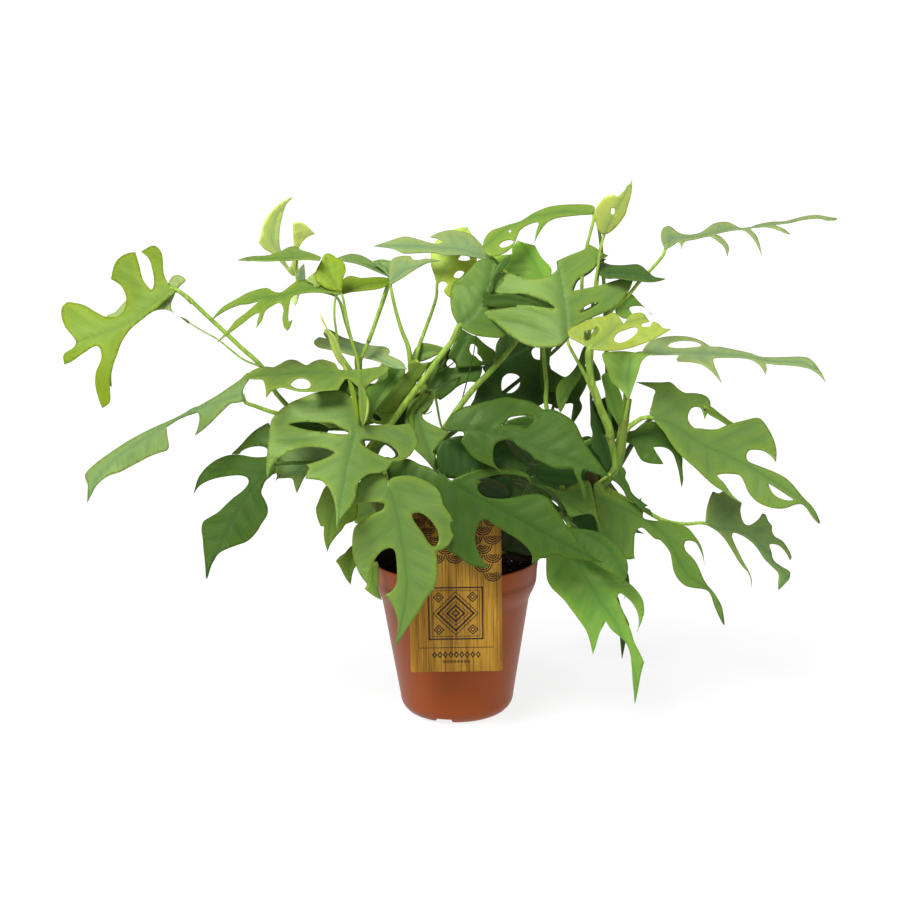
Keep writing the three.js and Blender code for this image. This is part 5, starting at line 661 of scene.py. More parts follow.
class Surface:
    """A material whose colour, roughness and bump come from a few nodes."""

    def __init__(self, name, **constants):
        self.material = bpy.data.materials.new(name)
        self.material.use_nodes = True
        self.tree = self.material.node_tree
        self.tree.nodes.clear()
        self.shader = self.node("BsdfPrincipled")
        output = self.node("OutputMaterial")
        self.tree.links.new(self.shader.outputs["BSDF"], output.inputs["Surface"])
        for socket, value in constants.items():
            self.shader.inputs[socket.replace("_", " ")].default_value = value

    def node(self, kind):
        return self.tree.nodes.new("ShaderNode" + kind)

    def put(self, socket, value):
        if isinstance(value, bpy.types.NodeSocket):
            self.tree.links.new(value, socket)
        elif isinstance(value, (list, tuple)) and len(value) == 3 and socket.type == "RGBA":
            socket.default_value = (*value, 1)
        else:
            socket.default_value = value

    def set(self, name, value):
        self.put(self.shader.inputs[name], value)

    def math(self, operation, a, b=0.0):
        made = self.node("Math")
        made.operation = operation
        self.put(made.inputs[0], a)
        self.put(made.inputs[1], b)
        return made.outputs[0]

    def times(self, first, *others):
        for other in others:
            first = self.math("MULTIPLY", first, other)
        return first

    def step(self, value, low, high):
        """0 below low and 1 above high, smooth between; falls instead where low is over high."""
        made = self.node("MapRange")
        made.interpolation_type = "SMOOTHSTEP"
        low, high, first, last = (low, high, 0.0, 1.0) if low < high else (high, low, 1.0, 0.0)
        numbers = {"Value": value, "From Min": low, "From Max": high, "To Min": first, "To Max": last}
        for socket, number in numbers.items():
            self.put(made.inputs[socket], number)
        return made.outputs[0]

    def mix(self, factor, a, b):
        made = self.node("Mix")
        made.data_type = "RGBA"
        for socket, value in ((0, factor), (6, a), (7, b)):
            self.put(made.inputs[socket], value)
        return made.outputs[2]

    def ground(self, mask, a, b):
        """The first colour: a where the mask is 0 and b where it is 1."""
        self.colour = self.mix(mask, a, b)

    def paint(self, colour, amount, *masks):
        """Lays a colour over the earlier ones, as strongly as amount where all the masks are 1."""
        self.colour = self.mix(self.times(*masks, amount), self.colour, colour)

    def rough(self, least, *parts):
        """Roughness from least upwards, with more for each (value, share)."""
        total = self.times(*parts[0])
        for part in parts[1:]:
            total = self.math("ADD", total, self.times(*part))
        self.set("Roughness", self.math("ADD", total, least))

    def attribute(self, name):
        made = self.node("Attribute")
        made.attribute_name = name
        return made.outputs["Fac"]

    def spot(self):
        """X, Y and Z of a point of the object."""
        made = self.node("SeparateXYZ")
        self.put(made.inputs[0], self.node("TexCoord").outputs["Object"])
        return made.outputs

    def place(self, scale=(1, 1, 1)):
        """Object coordinates, stretched."""
        made = self.node("Mapping")
        self.put(made.inputs["Vector"], self.node("TexCoord").outputs["Object"])
        made.inputs["Scale"].default_value = scale
        return made.outputs[0]

    def noise(self, scale, detail=2.0, place=None, roughness=0.5):
        made = self.node("TexNoise")
        self.put(made.inputs["Vector"], place or self.place())
        for socket, value in (("Scale", scale), ("Detail", detail), ("Roughness", roughness)):
            made.inputs[socket].default_value = value
        return made.outputs["Fac"]

    def bump(self, height, strength, distance):
        made = self.node("Bump")
        for socket, value in (("Strength", strength), ("Distance", distance), ("Height", height)):
            self.put(made.inputs[socket], value)
        self.set("Normal", made.outputs["Normal"])

    def done(self):
        self.set("Base Color", self.colour)
        return self.material


def leaf_surface(name, tone, behind):
    """A leaf: darker and bluer along its ribs and veins, striped between them in painted shade and painted
    highlight, with patches of painted sheen, painted shade in the groove of its rib, and yellower towards its
    rim.
    """
    base = linear(tone)
    made = Surface(
        "leaf_" + name, Specular_IOR_Level=0.24, Specular_Tint=(0.75, 1.0, 0.4, 1),
        Subsurface_Weight=0.1, Subsurface_Scale=0.002, Subsurface_Radius=(0.7, 1.0, 0.3))
    rib, rim, under = map(made.attribute, ("rib", "rim", "under"))
    vein, flow, tipward = map(made.attribute, ("vein", "flow", "tipward"))
    cloud = made.noise(38, 3)
    fine = made.noise(1400, 2)
    veinward = made.node("CombineXYZ")
    made.put(veinward.inputs[0], made.times(flow, 0.42))
    made.put(veinward.inputs[1], made.times(rib, 0.05))
    streak = made.noise(1.0, 3, veinward.outputs[0], 0.6)
    bright = [min(1.0, base[0] * 1.38 + 0.008), min(1.0, base[1] * 1.22), base[2] * 0.8]
    painted_sheen = [0.78 * c + share * base[1] for c, share in zip(base, (0.25, 0.26, 0.17))]
    dark = [base[0] * 0.52, base[1] * 0.68, base[2] * 1.05]
    made.ground(made.step(tipward, 0.0, 0.9), scaled(base, 0.78), scaled(base, 1.12))
    made.paint(scaled(base, 1.12), 0.4, made.step(cloud, 0.3, 0.7))
    # Painted sheen: a paler, greyer green in patches between the rib and the rim.
    made.paint(painted_sheen, 0.36, made.step(rib, 2.0, 6.0), made.step(rim, 1.5, 6.0), made.step(cloud, 0.38, 0.62))
    made.paint(bright, 0.6, made.step(rim, 7.0, 0.3), made.step(cloud, 0.8, 0.35))
    made.paint(dark, 0.5, made.step(rib, 9.0, 0.0), made.step(streak, 0.2, 0.7))
    made.paint(dark, 0.42, vein)
    # Painted shade in the troughs of the streaks and painted highlight on their crests, for the ripples
    # between the side veins.
    made.paint(dark, 0.24, made.step(streak, 0.52, 0.36))
    made.paint(scaled(painted_sheen, 1.25), 0.17, made.step(streak, 0.54, 0.72))
    made.paint(scaled(base, 1.5), 0.10, made.step(fine, 0.45, 0.8))
    # Painted shade in the groove along the rib, on the upper side.
    furrow_shade = made.times(made.step(rib, 2.0, 0.2), made.math("SUBTRACT", 1.0, under))
    made.paint(scaled(dark, 0.85), 0.42, furrow_shade)
    grey = 0.3 * base[0] + 0.6 * base[1] + 0.1 * base[2]
    # A leaf's paler underside; on the leaves behind, the side marked under is painted near-black green
    # instead, as painted shade.
    pale = scaled(linear(DEEP), 0.6) if behind else [0.66 * c + 0.34 * grey * 1.2 + 0.01 for c in base]
    made.paint(pale, 0.95 if behind else 0.7, under)
    made.paint(scaled(pale, 1.35), 0.6, made.step(rib, 1.6, 0.6), under)
    made.rough(0.34, (fine, 0.14), (under, 0.14))
    made.bump(made.math("ADD", made.times(fine, 0.5), made.times(streak, 0.9)), 0.3, 0.0006)
    return made.done()


def stalk_surface(name, tone, woody):
    """A stem or leaf stalk, streaked along its length and browner at the joints."""
    base = linear(tone)
    made = Surface(
        name, Specular_IOR_Level=0.2, Specular_Tint=(0.8, 1.0, 0.5, 1),
        Subsurface_Weight=0.1, Subsurface_Scale=0.002)
    streak = made.noise(420, 3, made.place((1, 1, 0.12)))
    made.ground(made.step(streak, 0.3, 0.75), scaled(base, 0.72), scaled(base, 1.2))
    made.paint(linear("6f6a3a"), woody, made.attribute("joint"))
    # Painted shade: the stalks of leaves that stand in the shade are painted dark green.
    made.paint(linear("2c451b"), 0.85, made.attribute("shaded"))
    made.rough(0.38, (streak, 0.2))
    made.bump(streak, 0.3, 0.0005)
    return made.done()


def pot_surface():
    """Terracotta-brown plastic: satin, faintly mottled, with a fine moulded grain; its rim band is painted
    lighter as painted light, and its inside is painted dark as painted shade.
    """
    base = linear("803b19")
    made = Surface("pot_plastic", Specular_IOR_Level=0.35, Specular_Tint=(1.0, 0.55, 0.3, 1))
    cloud = made.noise(14, 3)
    grain = made.noise(2200, 2)
    made.ground(made.step(cloud, 0.3, 0.7), scaled(base, 0.92), scaled(base, 1.08))
    made.paint(scaled(base, 1.5), 0.12, made.step(grain, 0.45, 0.7))
    x, y, z = made.spot()
    band = made.step(z, (BAND_FOOT - 1) * MM, (BAND_FOOT + 3) * MM)
    # Painted light: the rim band is painted lighter, for the sheen it catches.
    made.paint(scaled(base, 1.3), 0.5, band)
    radius = made.math("SQRT", made.math("ADD", made.times(x, x), made.times(y, y)))
    # Painted shade: the inside above the band's foot is painted near-black, for the shadow within the pot.
    made.paint(linear("120904"), band, made.step(radius, (RIM_RADIUS - 1.1) * MM, (RIM_RADIUS - 1.6) * MM))
    made.rough(0.34, (cloud, 0.16))
    made.bump(grain, 0.25, 0.0002)
    return made.done()


def soil_surface():
    made = Surface("potting_soil", Roughness=0.95, Specular_IOR_Level=0.1)
    fibres = made.noise(900, 3)
    lumps = made.step(made.noise(260, 5, roughness=0.7), 0.35, 0.7)
    made.ground(lumps, scaled(linear("17110c"), 0.45), linear("251a12"))
    made.paint(linear("4d3823"), 0.35, made.step(fibres, 0.64, 0.74))
    made.bump(fibres, 0.8, 0.001)
    return made.done()


def grain_surface():
    made = Surface("pale_grain", Roughness=0.9)
    made.ground(made.step(made.noise(500, 3), 0.3, 0.7), linear("a59c8c"), linear("d8d2c4"))
    return made.done()


def card_surface():
    """Matt card printed as upright boards, golden in the middle and browner towards the edges."""
    made = Surface("card_wood_print", Specular_IOR_Level=0.15)
    wide = made.noise(26, 4, made.place((4.5, 1, 0.25)), 0.6)
    fine = made.noise(150, 4, made.place((7, 1, 0.16)), 0.65)
    patch = made.noise(60, 3, made.place((1, 1, 0.5)))
    made.ground(made.step(wide, 0.3, 0.7), linear("87601c"), linear("a47c2a"))
    made.paint(linear("57390d"), 0.8, made.step(fine, 0.50, 0.66))
    made.paint(linear("c39a45"), 0.6, made.step(fine, 0.42, 0.28))
    x, _, z = made.spot()
    aside = made.math("ABSOLUTE", made.math("SUBTRACT", x, CARD_MIDDLE * MM))
    low = made.times(made.step(z, (CARD_BOTTOM + 12) * MM, (CARD_BOTTOM - 1) * MM), 0.6)
    shade = made.math("MAXIMUM", made.step(aside, 0.020, 0.033), low)
    made.paint(linear("5e3a0b"), 0.55, shade, made.step(patch, 0.3, 0.6))
    made.rough(0.5, (fine, 0.2))
    made.bump(fine, 0.15, 0.0002)
    return made.done()


def ink_surface():
    made = Surface("card_ink", Roughness=0.6, Specular_IOR_Level=0.3)
    made.ground(made.step(made.noise(700, 3), 0.5, 0.75), linear("22140a"), linear("4a3015"))
    return made.done()


def floor_surface():
    """A pale floor that glows a little, as a lit studio sweep does, so that the shadows on it stay faint."""
    made = Surface(
        "pale_floor", Roughness=0.8, Specular_IOR_Level=0.0,
        Emission_Strength=0.84, Emission_Color=(1, 1, 1, 1))
    made.colour = linear("707070")
    return made.done()


# ---------------------------------------------------------------- geometry of the drawing


def lift(x, z, y):
    """Drawn points at their depths, in millimetres in space."""
    reach = 1 - y / EYE[1]
    return np.stack([EYE[0] + (x - EYE[0]) * reach, y, EYE[2] + (z - EYE[2]) * reach], axis=-1)


def rib_place(x, z, rib):
    """Distance from the rib and place along it; before its base the place is below zero."""
    near = np.full(np.shape(x), np.inf)
    along = np.zeros(np.shape(x))
    start = 0.0
    for i, ((ax, az), (bx, bz)) in enumerate(zip(rib[:-1], rib[1:])):
        length = math.hypot(bx - ax, bz - az)
        t = ((x - ax) * (bx - ax) + (z - az) * (bz - az)) / length ** 2
        held = np.clip(t, 0, 1)
        away = np.hypot(x - ax - held * (bx - ax), z - az - held * (bz - az))
        free = np.where((t < 0) & (i == 0), t, held)
        closer = away < near
        near = np.where(closer, away, near)
        along = np.where(closer, start + free * length, along)
        start += length
    return near, along


def depth_at(x, z, one):
    """Depth of a leaf: a leaning plane that curls towards the tip and folds along the rib."""
    base, swing, lean, tip_shift, fold = one["depth"]
    (x0, z0), (x1, z1) = one["rib"][0], one["rib"][-1]
    along = ((x - x0) * (x1 - x0) + (z - z0) * (z1 - z0)) / ((x1 - x0) ** 2 + (z1 - z0) ** 2)
    t = np.clip(along, 0, 1)
    away, _ = rib_place(x, z, one["rib"])
    return base + swing * (x - x0) + lean * (z - z0) + tip_shift * t * t + fold * away


def stretch_of(one):
    """How much longer a leaning blade is than its drawing, along x and along z."""
    _, swing, lean, _, _ = one["depth"]
    return np.array([math.hypot(1, swing), math.hypot(1, lean)])


def smooth_loop(points, step):
    """A closed outline through its points, round except at its corners."""
    count = len(points)
    places = np.array(points)
    ahead = np.roll(places, -1, axis=0) - places
    gaps = np.maximum(np.hypot(ahead[:, 0], ahead[:, 1]), 1e-6)
    made = []
    for i in range(count):
        j = (i + 1) % count
        tangents = []
        for k in (i, j):
            before, after = (k - 1) % count, (k + 1) % count
            reach = gaps[before] + gaps[k]
            both = (places[after] - places[before]) / reach * gaps[i]
            tangents.append(ahead[i] if points[k].corner else both)
        steps = max(1, round(gaps[i] / step))
        for t in np.arange(steps) / steps:
            made.append(
                (2 * t ** 3 - 3 * t ** 2 + 1) * places[i] + (t ** 3 - 2 * t ** 2 + t) * tangents[0]
                + (3 * t ** 2 - 2 * t ** 3) * places[j] + (t ** 3 - t ** 2) * tangents[1])
    return np.array(made)


def inside(points, outer, *holes):
    """True for each point within the outer loop and in none of the holes."""
    x, z = points[:, 0], points[:, 1]
    odd = np.zeros(len(points), bool)
    for (ax, az), (bx, bz) in zip(outer, np.roll(outer, -1, axis=0)):
        if az == bz:
            continue
        crosses = (az > z) != (bz > z)
        odd ^= crosses & (x < (bx - ax) * (z - az) / (bz - az) + ax)
    for hole in holes:
        odd &= ~inside(points, hole)
    return odd


def gap_to(points, others):
    """Distance from each point to the nearest of the others."""
    across = points[:, None, 0] - others[None, :, 0]
    up = points[:, None, 1] - others[None, :, 1]
    return np.sqrt((across ** 2 + up ** 2).min(axis=1))


def through(points, steps):
    """Points along a round curve through the given ones, for stems, stalks and ribs."""
    points = np.array(points, float)
    if len(points) == 2:
        return points[0] + np.linspace(0, 1, steps)[:, None] * (points[1] - points[0])
    padded = np.vstack([2 * points[0] - points[1], points, 2 * points[-1] - points[-2]])
    gaps = np.sqrt(np.maximum(np.linalg.norm(np.diff(padded, axis=0), axis=1), 1e-6))
    knots = np.concatenate([[0], np.cumsum(gaps)])
    made = []
    for u in np.linspace(knots[1], knots[-2], steps):
        i = int(np.clip(np.searchsorted(knots, u, side="right") - 1, 1, len(points) - 1))
        p, k = padded[i - 1:i + 3], knots[i - 1:i + 3]
        a = [p[n] + (p[n + 1] - p[n]) * (u - k[n]) / (k[n + 1] - k[n]) for n in range(3)]
        b = [a[n] + (a[n + 1] - a[n]) * (u - k[n]) / (k[n + 2] - k[n]) for n in range(2)]
        made.append(b[0] + (b[1] - b[0]) * (u - k[1]) / (k[2] - k[1]))
    return np.array(made)


def length_of(line):
    return np.linalg.norm(np.diff(line, axis=0), axis=1).sum()


# ---------------------------------------------------------------- meshes


class Parts:
    """Points in millimetres and faces of a mesh that is put together from several shapes."""

    def __init__(self):
        self.places, self.faces = [], []

    def add(self, places, faces):
        start = len(self.places)
        self.places += [tuple(p) for p in places]
        self.faces += [tuple(n + start for n in face) for face in faces]


def mesh_object(name, places, faces, surfaces, attributes=None, indices=None, smooth=True):
    """An object from points in millimetres."""
    mesh = bpy.data.meshes.new(name)
    mesh.from_pydata((np.asarray(places) * MM).tolist(), [], faces)
    mesh.validate()
    for surface in surfaces:
        mesh.materials.append(surface)
    for key, values in (attributes or {}).items():
        made = mesh.attributes.new(key, "FLOAT", "POINT")
        made.data.foreach_set("value", np.asarray(values, np.float32))
    if indices is not None:
        mesh.polygons.foreach_set("material_index", indices)
    mesh.polygons.foreach_set("use_smooth", [smooth] * len(mesh.polygons))
    mesh.update()
    made = bpy.data.objects.new(name, mesh)
    bpy.context.scene.collection.objects.link(made)
    return made


def vertex_normals(places, faces):
    normals = np.zeros_like(places)
    a, b, c = (places[faces[:, i]] for i in range(3))
    area = np.cross(b - a, c - a)
    for i in range(3):
        np.add.at(normals, faces[:, i], area)
    return normals / np.maximum(np.linalg.norm(normals, axis=1), 1e-9)[:, None]


def flat_blade(one, stretch):
    """The drawn blade in triangles that are even once stretched: points, faces, stretched edge points."""
    loops = [smooth_loop(loop, EDGE_STEP) for loop in [one["edge"], *one["holes"]]]
    edge_points = np.vstack(loops) * stretch
    low, high = loops[0].min(axis=0) * stretch, loops[0].max(axis=0) * stretch
    grid = np.array([
        (x + (BLADE_STEP / 2 if row % 2 else 0), z)
        for row, z in enumerate(np.arange(low[1], high[1], BLADE_STEP * 0.87))
        for x in np.arange(low[0], high[0], BLADE_STEP)
    ]).reshape(-1, 2)
    spine = through(one["rib"], max(8, int(math.dist(one["rib"][0], one["rib"][-1]) / 1.8)))
    grid = grid[gap_to(grid, spine * stretch) > BLADE_STEP * 0.55]
    inner = np.vstack([spine[1:], grid / stretch])
    inner = inner[inside(inner, *loops) & (gap_to(inner * stretch, edge_points) > EDGE_CLEAR)]
    edges = []
    start = 0
    for loop in loops:
        edges += [(start + i, start + (i + 1) % len(loop)) for i in range(len(loop))]
        start += len(loop)
    flat = [Vector(p) for p in np.vstack([*loops, inner]).tolist()]
    flat, _, faces, *_ = delaunay_2d_cdt(flat, edges, [], 0, 1e-5, False)
    flat, faces = np.array([tuple(p) for p in flat]), np.array(faces)
    faces = faces[inside(flat[faces].mean(axis=1), *loops)]
    a, b, c = (flat[faces[:, i]] for i in range(3))
    turned = (b[:, 0] - a[:, 0]) * (c[:, 1] - a[:, 1]) - (b[:, 1] - a[:, 1]) * (c[:, 0] - a[:, 0]) < 0
    faces[turned] = faces[turned][:, ::-1]
    used, faces = np.unique(faces, return_inverse=True)
    return flat[used], faces.reshape(-1, 3), edge_points


def soft_shape(x, z, away, along, one, name, stretch):
    """Depth that a living blade adds: its sides bend back and its rim rolls in long waves."""
    draw = seeded(name)
    bend = draw.uniform(0.8, 1.25) * BEND / max(stretch)
    first, second = draw.uniform(0, 2 * math.pi), draw.uniform(0, 2 * math.pi)
    reach = np.clip(away / 30, 0, 1.2)
    wave = 1.5 * np.sin(along / 9.5 + first) * reach ** 1.4 + 0.8 * np.sin((x + 0.6 * z) / 8 + second) * reach
    side = -1.0 if one["behind"] else 1.0
    return side * bend * away ** 2 / (1 + away / 45) + wave / max(stretch)


def thickened(faces, count):
    """Faces of a sheet, of its copy count points further on, and of the wall between their rims."""
    edges = dict.fromkeys((face[i], face[(i + 1) % 3]) for face in faces.tolist() for i in range(3))
    walls = [(b, a, a + count, b + count) for a, b in edges if (b, a) not in edges]
    return [tuple(f) for f in [*faces.tolist(), *(faces[:, ::-1] + count).tolist()]] + walls


def blade(name, one):
    """A thin leaf blade with its rib groove, side veins and soft waves."""
    stretch = stretch_of(one)
    flat, faces, edge_points = flat_blade(one, stretch)
    x, z = flat[:, 0], flat[:, 1]
    rib = [tuple(p * stretch) for p in np.array(one["rib"])]
    away, along = rib_place(x * stretch[0], z * stretch[1], rib)
    close = gap_to(flat * stretch, edge_points)
    length = sum(math.dist(p, q) for p, q in zip(one["rib"], one["rib"][1:])) * max(stretch)
    size = math.sqrt(max(200.0, np.ptp(x) * stretch[0] * np.ptp(z) * stretch[1]))
    pitch = float(np.clip(size / 6, 7, 15))
    flow = along - 0.8 * away + 0.006 * away ** 2
    phase = flow * 2 * math.pi / pitch + seeded(name + "veins").uniform(0, 2 * math.pi)
    fade = np.clip((away - 1.5) / 5, 0, 1) * np.clip(close / 7, 0, 1)
    vein = np.clip(0.5 + 0.5 * np.cos(phase), 0, 1) ** 3 * fade
    groove = -0.55 * np.exp(-(away / 1.5) ** 2) - 0.5 * np.exp(-(away / 5) ** 2)
    side = -1.0 if one["behind"] else 1.0
    sheet = lift(x, z, depth_at(x, z, one) + soft_shape(x, z, away, along, one, name, stretch))
    sheet += vertex_normals(sheet, faces) * (side * (groove - 0.5 * vein))[:, None]
    normals = vertex_normals(sheet, faces)
    count = len(sheet)
    ridge = 0.9 * np.exp(-(away / 1.1) ** 2) * np.clip(1.1 - along / length, 0.15, 1)
    ridge *= np.clip(close / 2, 0, 1)
    front = sheet + normals * (BLADE_THICKNESS / 2 + ridge * one["behind"])[:, None]
    back = sheet - normals * (BLADE_THICKNESS / 2 + ridge * (not one["behind"]))[:, None]
    attributes = {
        "rib": np.tile(away, 2), "rim": np.tile(close, 2), "vein": np.tile(vein, 2),
        "flow": np.tile(flow, 2), "tipward": np.tile(np.clip(along / length, 0, 1), 2),
        "under": np.repeat([1.0, 0.0] if one["behind"] else [0.0, 1.0], count),
    }
    surface = leaf_surface(name, one["tone"], one["behind"])
    return mesh_object(
        "leaf_" + name, np.vstack([front, back]), thickened(faces, count), [surface], attributes)


def tube(points, radii, sides):
    """A round tube through points, with closed ends: its places and faces."""
    ahead = np.gradient(points, axis=0)
    ahead /= np.linalg.norm(ahead, axis=1)[:, None]
    aside = np.cross(ahead[0], (0.0, 1.0, 0.0))
    if np.linalg.norm(aside) < 0.1:
        aside = np.cross(ahead[0], (1.0, 0.0, 0.0))
    places = []
    for point, forward, radius in zip(points, ahead, radii):
        aside = aside - forward * aside.dot(forward)
        aside /= np.linalg.norm(aside)
        over = np.cross(forward, aside)
        for k in range(sides):
            angle = 2 * math.pi * k / sides
            places.append(point + radius * (math.cos(angle) * aside + math.sin(angle) * over))
    last = (len(points) - 1) * sides
    faces = [
        (i + k, i + (k + 1) % sides, i + (k + 1) % sides + sides, i + k + sides)
        for i in range(0, last, sides) for k in range(sides)
    ]
    return places, [*faces, tuple(range(sides))[::-1], tuple(range(last, last + sides))]


def stalk_line(one):
    """Points of a leaf's stalk in space, from its root to a little way along the rib."""
    stalk = one["stalk"]
    flat = np.array([p[:2] for p in stalk])
    steps = np.concatenate([[0], np.cumsum(np.hypot(*np.diff(flat, axis=0).T))])
    (x0, z0), (x1, z1) = one["rib"][:2]
    first = stalk[0][2]
    last = float(depth_at(np.array(x0), np.array(z0), one))
    depths = first + (last - first) * steps / steps[-1]
    part = min(0.5, 5 / math.dist((x0, z0), (x1, z1)))
    x, z = np.array([x0 + (x1 - x0) * part]), np.array([z0 + (z1 - z0) * part])
    _, swing, lean, _, _ = one["depth"]
    behind = math.sqrt(1 + swing ** 2 + lean ** 2) * (-2.0 if one["behind"] else 2.0)
    depths[-1] += behind * 0.8
    sunk = lift(x, z, depth_at(x, z, one) + behind)
    return np.vstack([lift(flat[:, 0], flat[:, 1], depths), sunk])


def span_of(one):
    """The side of a square as large as the box round a blade."""
    wide, high = np.ptp(np.array(one["edge"]), axis=0)
    stretch = stretch_of(one)
    return math.sqrt(wide * stretch[0] * high * stretch[1])


def stalks(stem, kind):
    """All leaf stalks of one stem as one object."""
    parts, joints, shaded = Parts(), [], []
    for name, one in LEAVES.items():
        if one["stem"] != stem:
            continue
        line = stalk_line(one)
        length = length_of(line)
        line = through(line, max(6, int(length / 4)))
        at = np.linspace(0, 1, len(line))
        tip, base = STALK_RADII.get(name, (0.85 + span_of(one) / 260, 1.25 + span_of(one) / 110))
        radii = tip + (base - tip) * (1 - at) ** 1.6
        radii *= 0.4 + 0.6 * np.clip((1 - at) * length / 8, 0, 1)
        parts.add(*tube(line, radii, STALK_SIDES))
        joints += np.repeat(np.exp(-(at * length / 6) ** 2), STALK_SIDES).tolist()
        dim = one["behind"] or one["tone"] in DIM
        shaded += [float(dim and name not in LIT_STALKS)] * len(at) * STALK_SIDES
    return mesh_object(
        "leaf_stalks_" + stem, parts.places, parts.faces, [kind], {"joint": joints, "shaded": shaded})


def stems(stem, kind):
    """The stem itself, with its swollen joints."""
    parts, joints = Parts(), []
    roots = np.array([one["stalk"][0] for one in LEAVES.values() if one["stem"] == stem])
    roots = lift(*roots.T)
    for text in STEMS[stem]:
        line = lift(*np.array(drawn(text)).T)
        length = length_of(line)
        line = through(line, int(length / 2.5))
        near = np.sqrt(((line[:, None] - roots[None]) ** 2).sum(axis=2).min(axis=1))
        joint = np.exp(-(near / 3.0) ** 2)
        at = np.linspace(0, 1, len(line))
        radii = STEM_RADIUS * (1.05 - 0.3 * at) * (1 + 0.16 * joint)
        radii *= np.where(at * length < 2, 0.9, 1)
        parts.add(*tube(line, radii, STEM_SIDES))
        joints += np.repeat(joint, STEM_SIDES).tolist()
    return mesh_object("stem_" + stem, parts.places, parts.faces, [kind], {"joint": joints})


# ---------------------------------------------------------------- pot, soil and card


def arc(cx, cz, radius, first, last, count):
    """Points of an arc, with its ends in degrees."""
    return [
        (cx + radius * math.cos(math.radians(angle)), cz + radius * math.sin(math.radians(angle)))
        for angle in np.linspace(first, last, count)
    ]


def ring(radius, z, count):
    """Points of a circle round Z."""
    turns = [2 * math.pi * k / count for k in range(count)]
    return [(radius * math.cos(a), radius * math.sin(a), z) for a in turns]


def wall_radius(z):
    return HEEL_RADIUS + (z - HEEL_HEIGHT) / (NECK_HEIGHT - HEEL_HEIGHT) * (NECK_RADIUS - HEEL_RADIUS)


def lathe(name, profile, segments, surface):
    """A closed profile of (radius, height) turned round Z; points on the axis become poles."""
    places, faces, rings = [], [], []
    for radius, z in profile:
        if radius < 1e-6:
            rings.append([len(places)] * segments)
            places.append((0, 0, z))
        else:
            rings.append(list(range(len(places), len(places) + segments)))
            places += ring(radius, z, segments)
    for low, high in zip(rings[:-1], rings[1:]):
        for k in range(segments):
            j = (k + 1) % segments
            corners = [low[k], low[j], high[j], high[k]]
            faces.append(tuple(dict.fromkeys(corners)))
    return mesh_object(name, places, faces, [surface])


def cut(made, cutters):
    """Cuts the cutters out of an object, and drops them."""
    for cutter in cutters:
        modifier = made.modifiers.new("cut", "BOOLEAN")
        modifier.operation = "DIFFERENCE"
        modifier.solver = "EXACT"
        modifier.object = cutter
    bpy.context.view_layer.update()
    seen = made.evaluated_get(bpy.context.evaluated_depsgraph_get())
    mesh = bpy.data.meshes.new_from_object(seen)
    made.modifiers.clear()
    made.data = mesh
    for cutter in cutters:
        bpy.data.objects.remove(cutter)


def box_places(x0, x1, y0, y1, z0, z1):
    return [(x, y, z) for z in (z0, z1) for y in (y0, y1) for x in (x0, x1)]


BOX_FACES = [(0, 2, 3, 1), (4, 5, 7, 6), (0, 1, 5, 4), (2, 6, 7, 3), (0, 4, 6, 2), (1, 3, 7, 5)]


def shoulder(count):
    """The soft step from the pot's wall out to its rim band, as an S of radius and height."""
    low, high = NECK_HEIGHT - 3, BAND_FOOT + 2
    made = []
    for t in np.linspace(0, 1, count):
        z = low + t * (high - low)
        made.append((wall_radius(z) + t * t * (3 - 2 * t) * (RIM_RADIUS - 1.3 - wall_radius(z)), z))
    return made


def heel(count):
    """The round turn of the pot's foot up into its wall."""
    reach = wall_radius(HEEL_ROUND) - FOOT_RADIUS
    return [
        (FOOT_RADIUS + reach * math.sin(a) ** 0.9, HEEL_ROUND * (1 - math.cos(a)))
        for a in np.linspace(0, math.pi / 2, count + 1)[1:]
    ]


def pot(surface):
    """The pot's shell, turned from its profile, with drainage notches cut in its foot."""
    outside = [
        (0, 0.5), (FOOT_RADIUS - 6, 0.5), (FOOT_RADIUS - 4.5, 0.0), (FOOT_RADIUS, 0),
        *heel(12), (wall_radius(30), 30), (wall_radius(60), 60),
        *shoulder(9),
        (RIM_RADIUS - 1.0, BAND_FOOT + 7),
        *arc(RIM_RADIUS - 0.8, POT_HEIGHT - 0.8, 0.8, 0, 180, 9),
    ]
    inner = [
        (RIM_RADIUS - 1.5 - POT_WALL, BAND_FOOT), (NECK_RADIUS - POT_WALL + 0.6, NECK_HEIGHT + 3),
        (wall_radius(HEEL_HEIGHT) - POT_WALL, HEEL_HEIGHT), (FOOT_RADIUS + 1, POT_FLOOR), (0, POT_FLOOR),
    ]
    made = lathe("pot_shell", outside + inner, POT_SEGMENTS, surface)
    half = NOTCH_WIDTH / 2
    notch = box_places(NOTCH_INNER, NOTCH_INNER + RIM_RADIUS, -half, half, -NOTCH_HEIGHT, NOTCH_HEIGHT)
    cutters = []
    for i in range(NOTCHES):
        turn = Matrix.Rotation(math.radians(FIRST_NOTCH + 360 * i / NOTCHES), 3, "Z")
        cutters.append(mesh_object("notch", [turn @ Vector(p) for p in notch], BOX_FACES, []))
    cut(made, cutters)
    made.data.set_sharp_from_angle(angle=math.radians(32))
    return made


SOIL_RADIUS = RIM_RADIUS - 1.3 - (POT_WALL + SOIL_GAP)  # at its top


def soil_height(x, y):
    """Height of the rough mound, which is plain at the pot's wall."""
    outward = math.hypot(x, y) / SOIL_RADIUS
    mound = SOIL_MOUND * (1 - outward ** 2)
    rough = 1.5 * noise.noise(Vector((x, y, 0)) / 7) + 0.9 * noise.noise(Vector((x, y, 5)) / 2.6)
    return SOIL_TOP - 0.6 + mound + rough * (1 - outward ** 8)


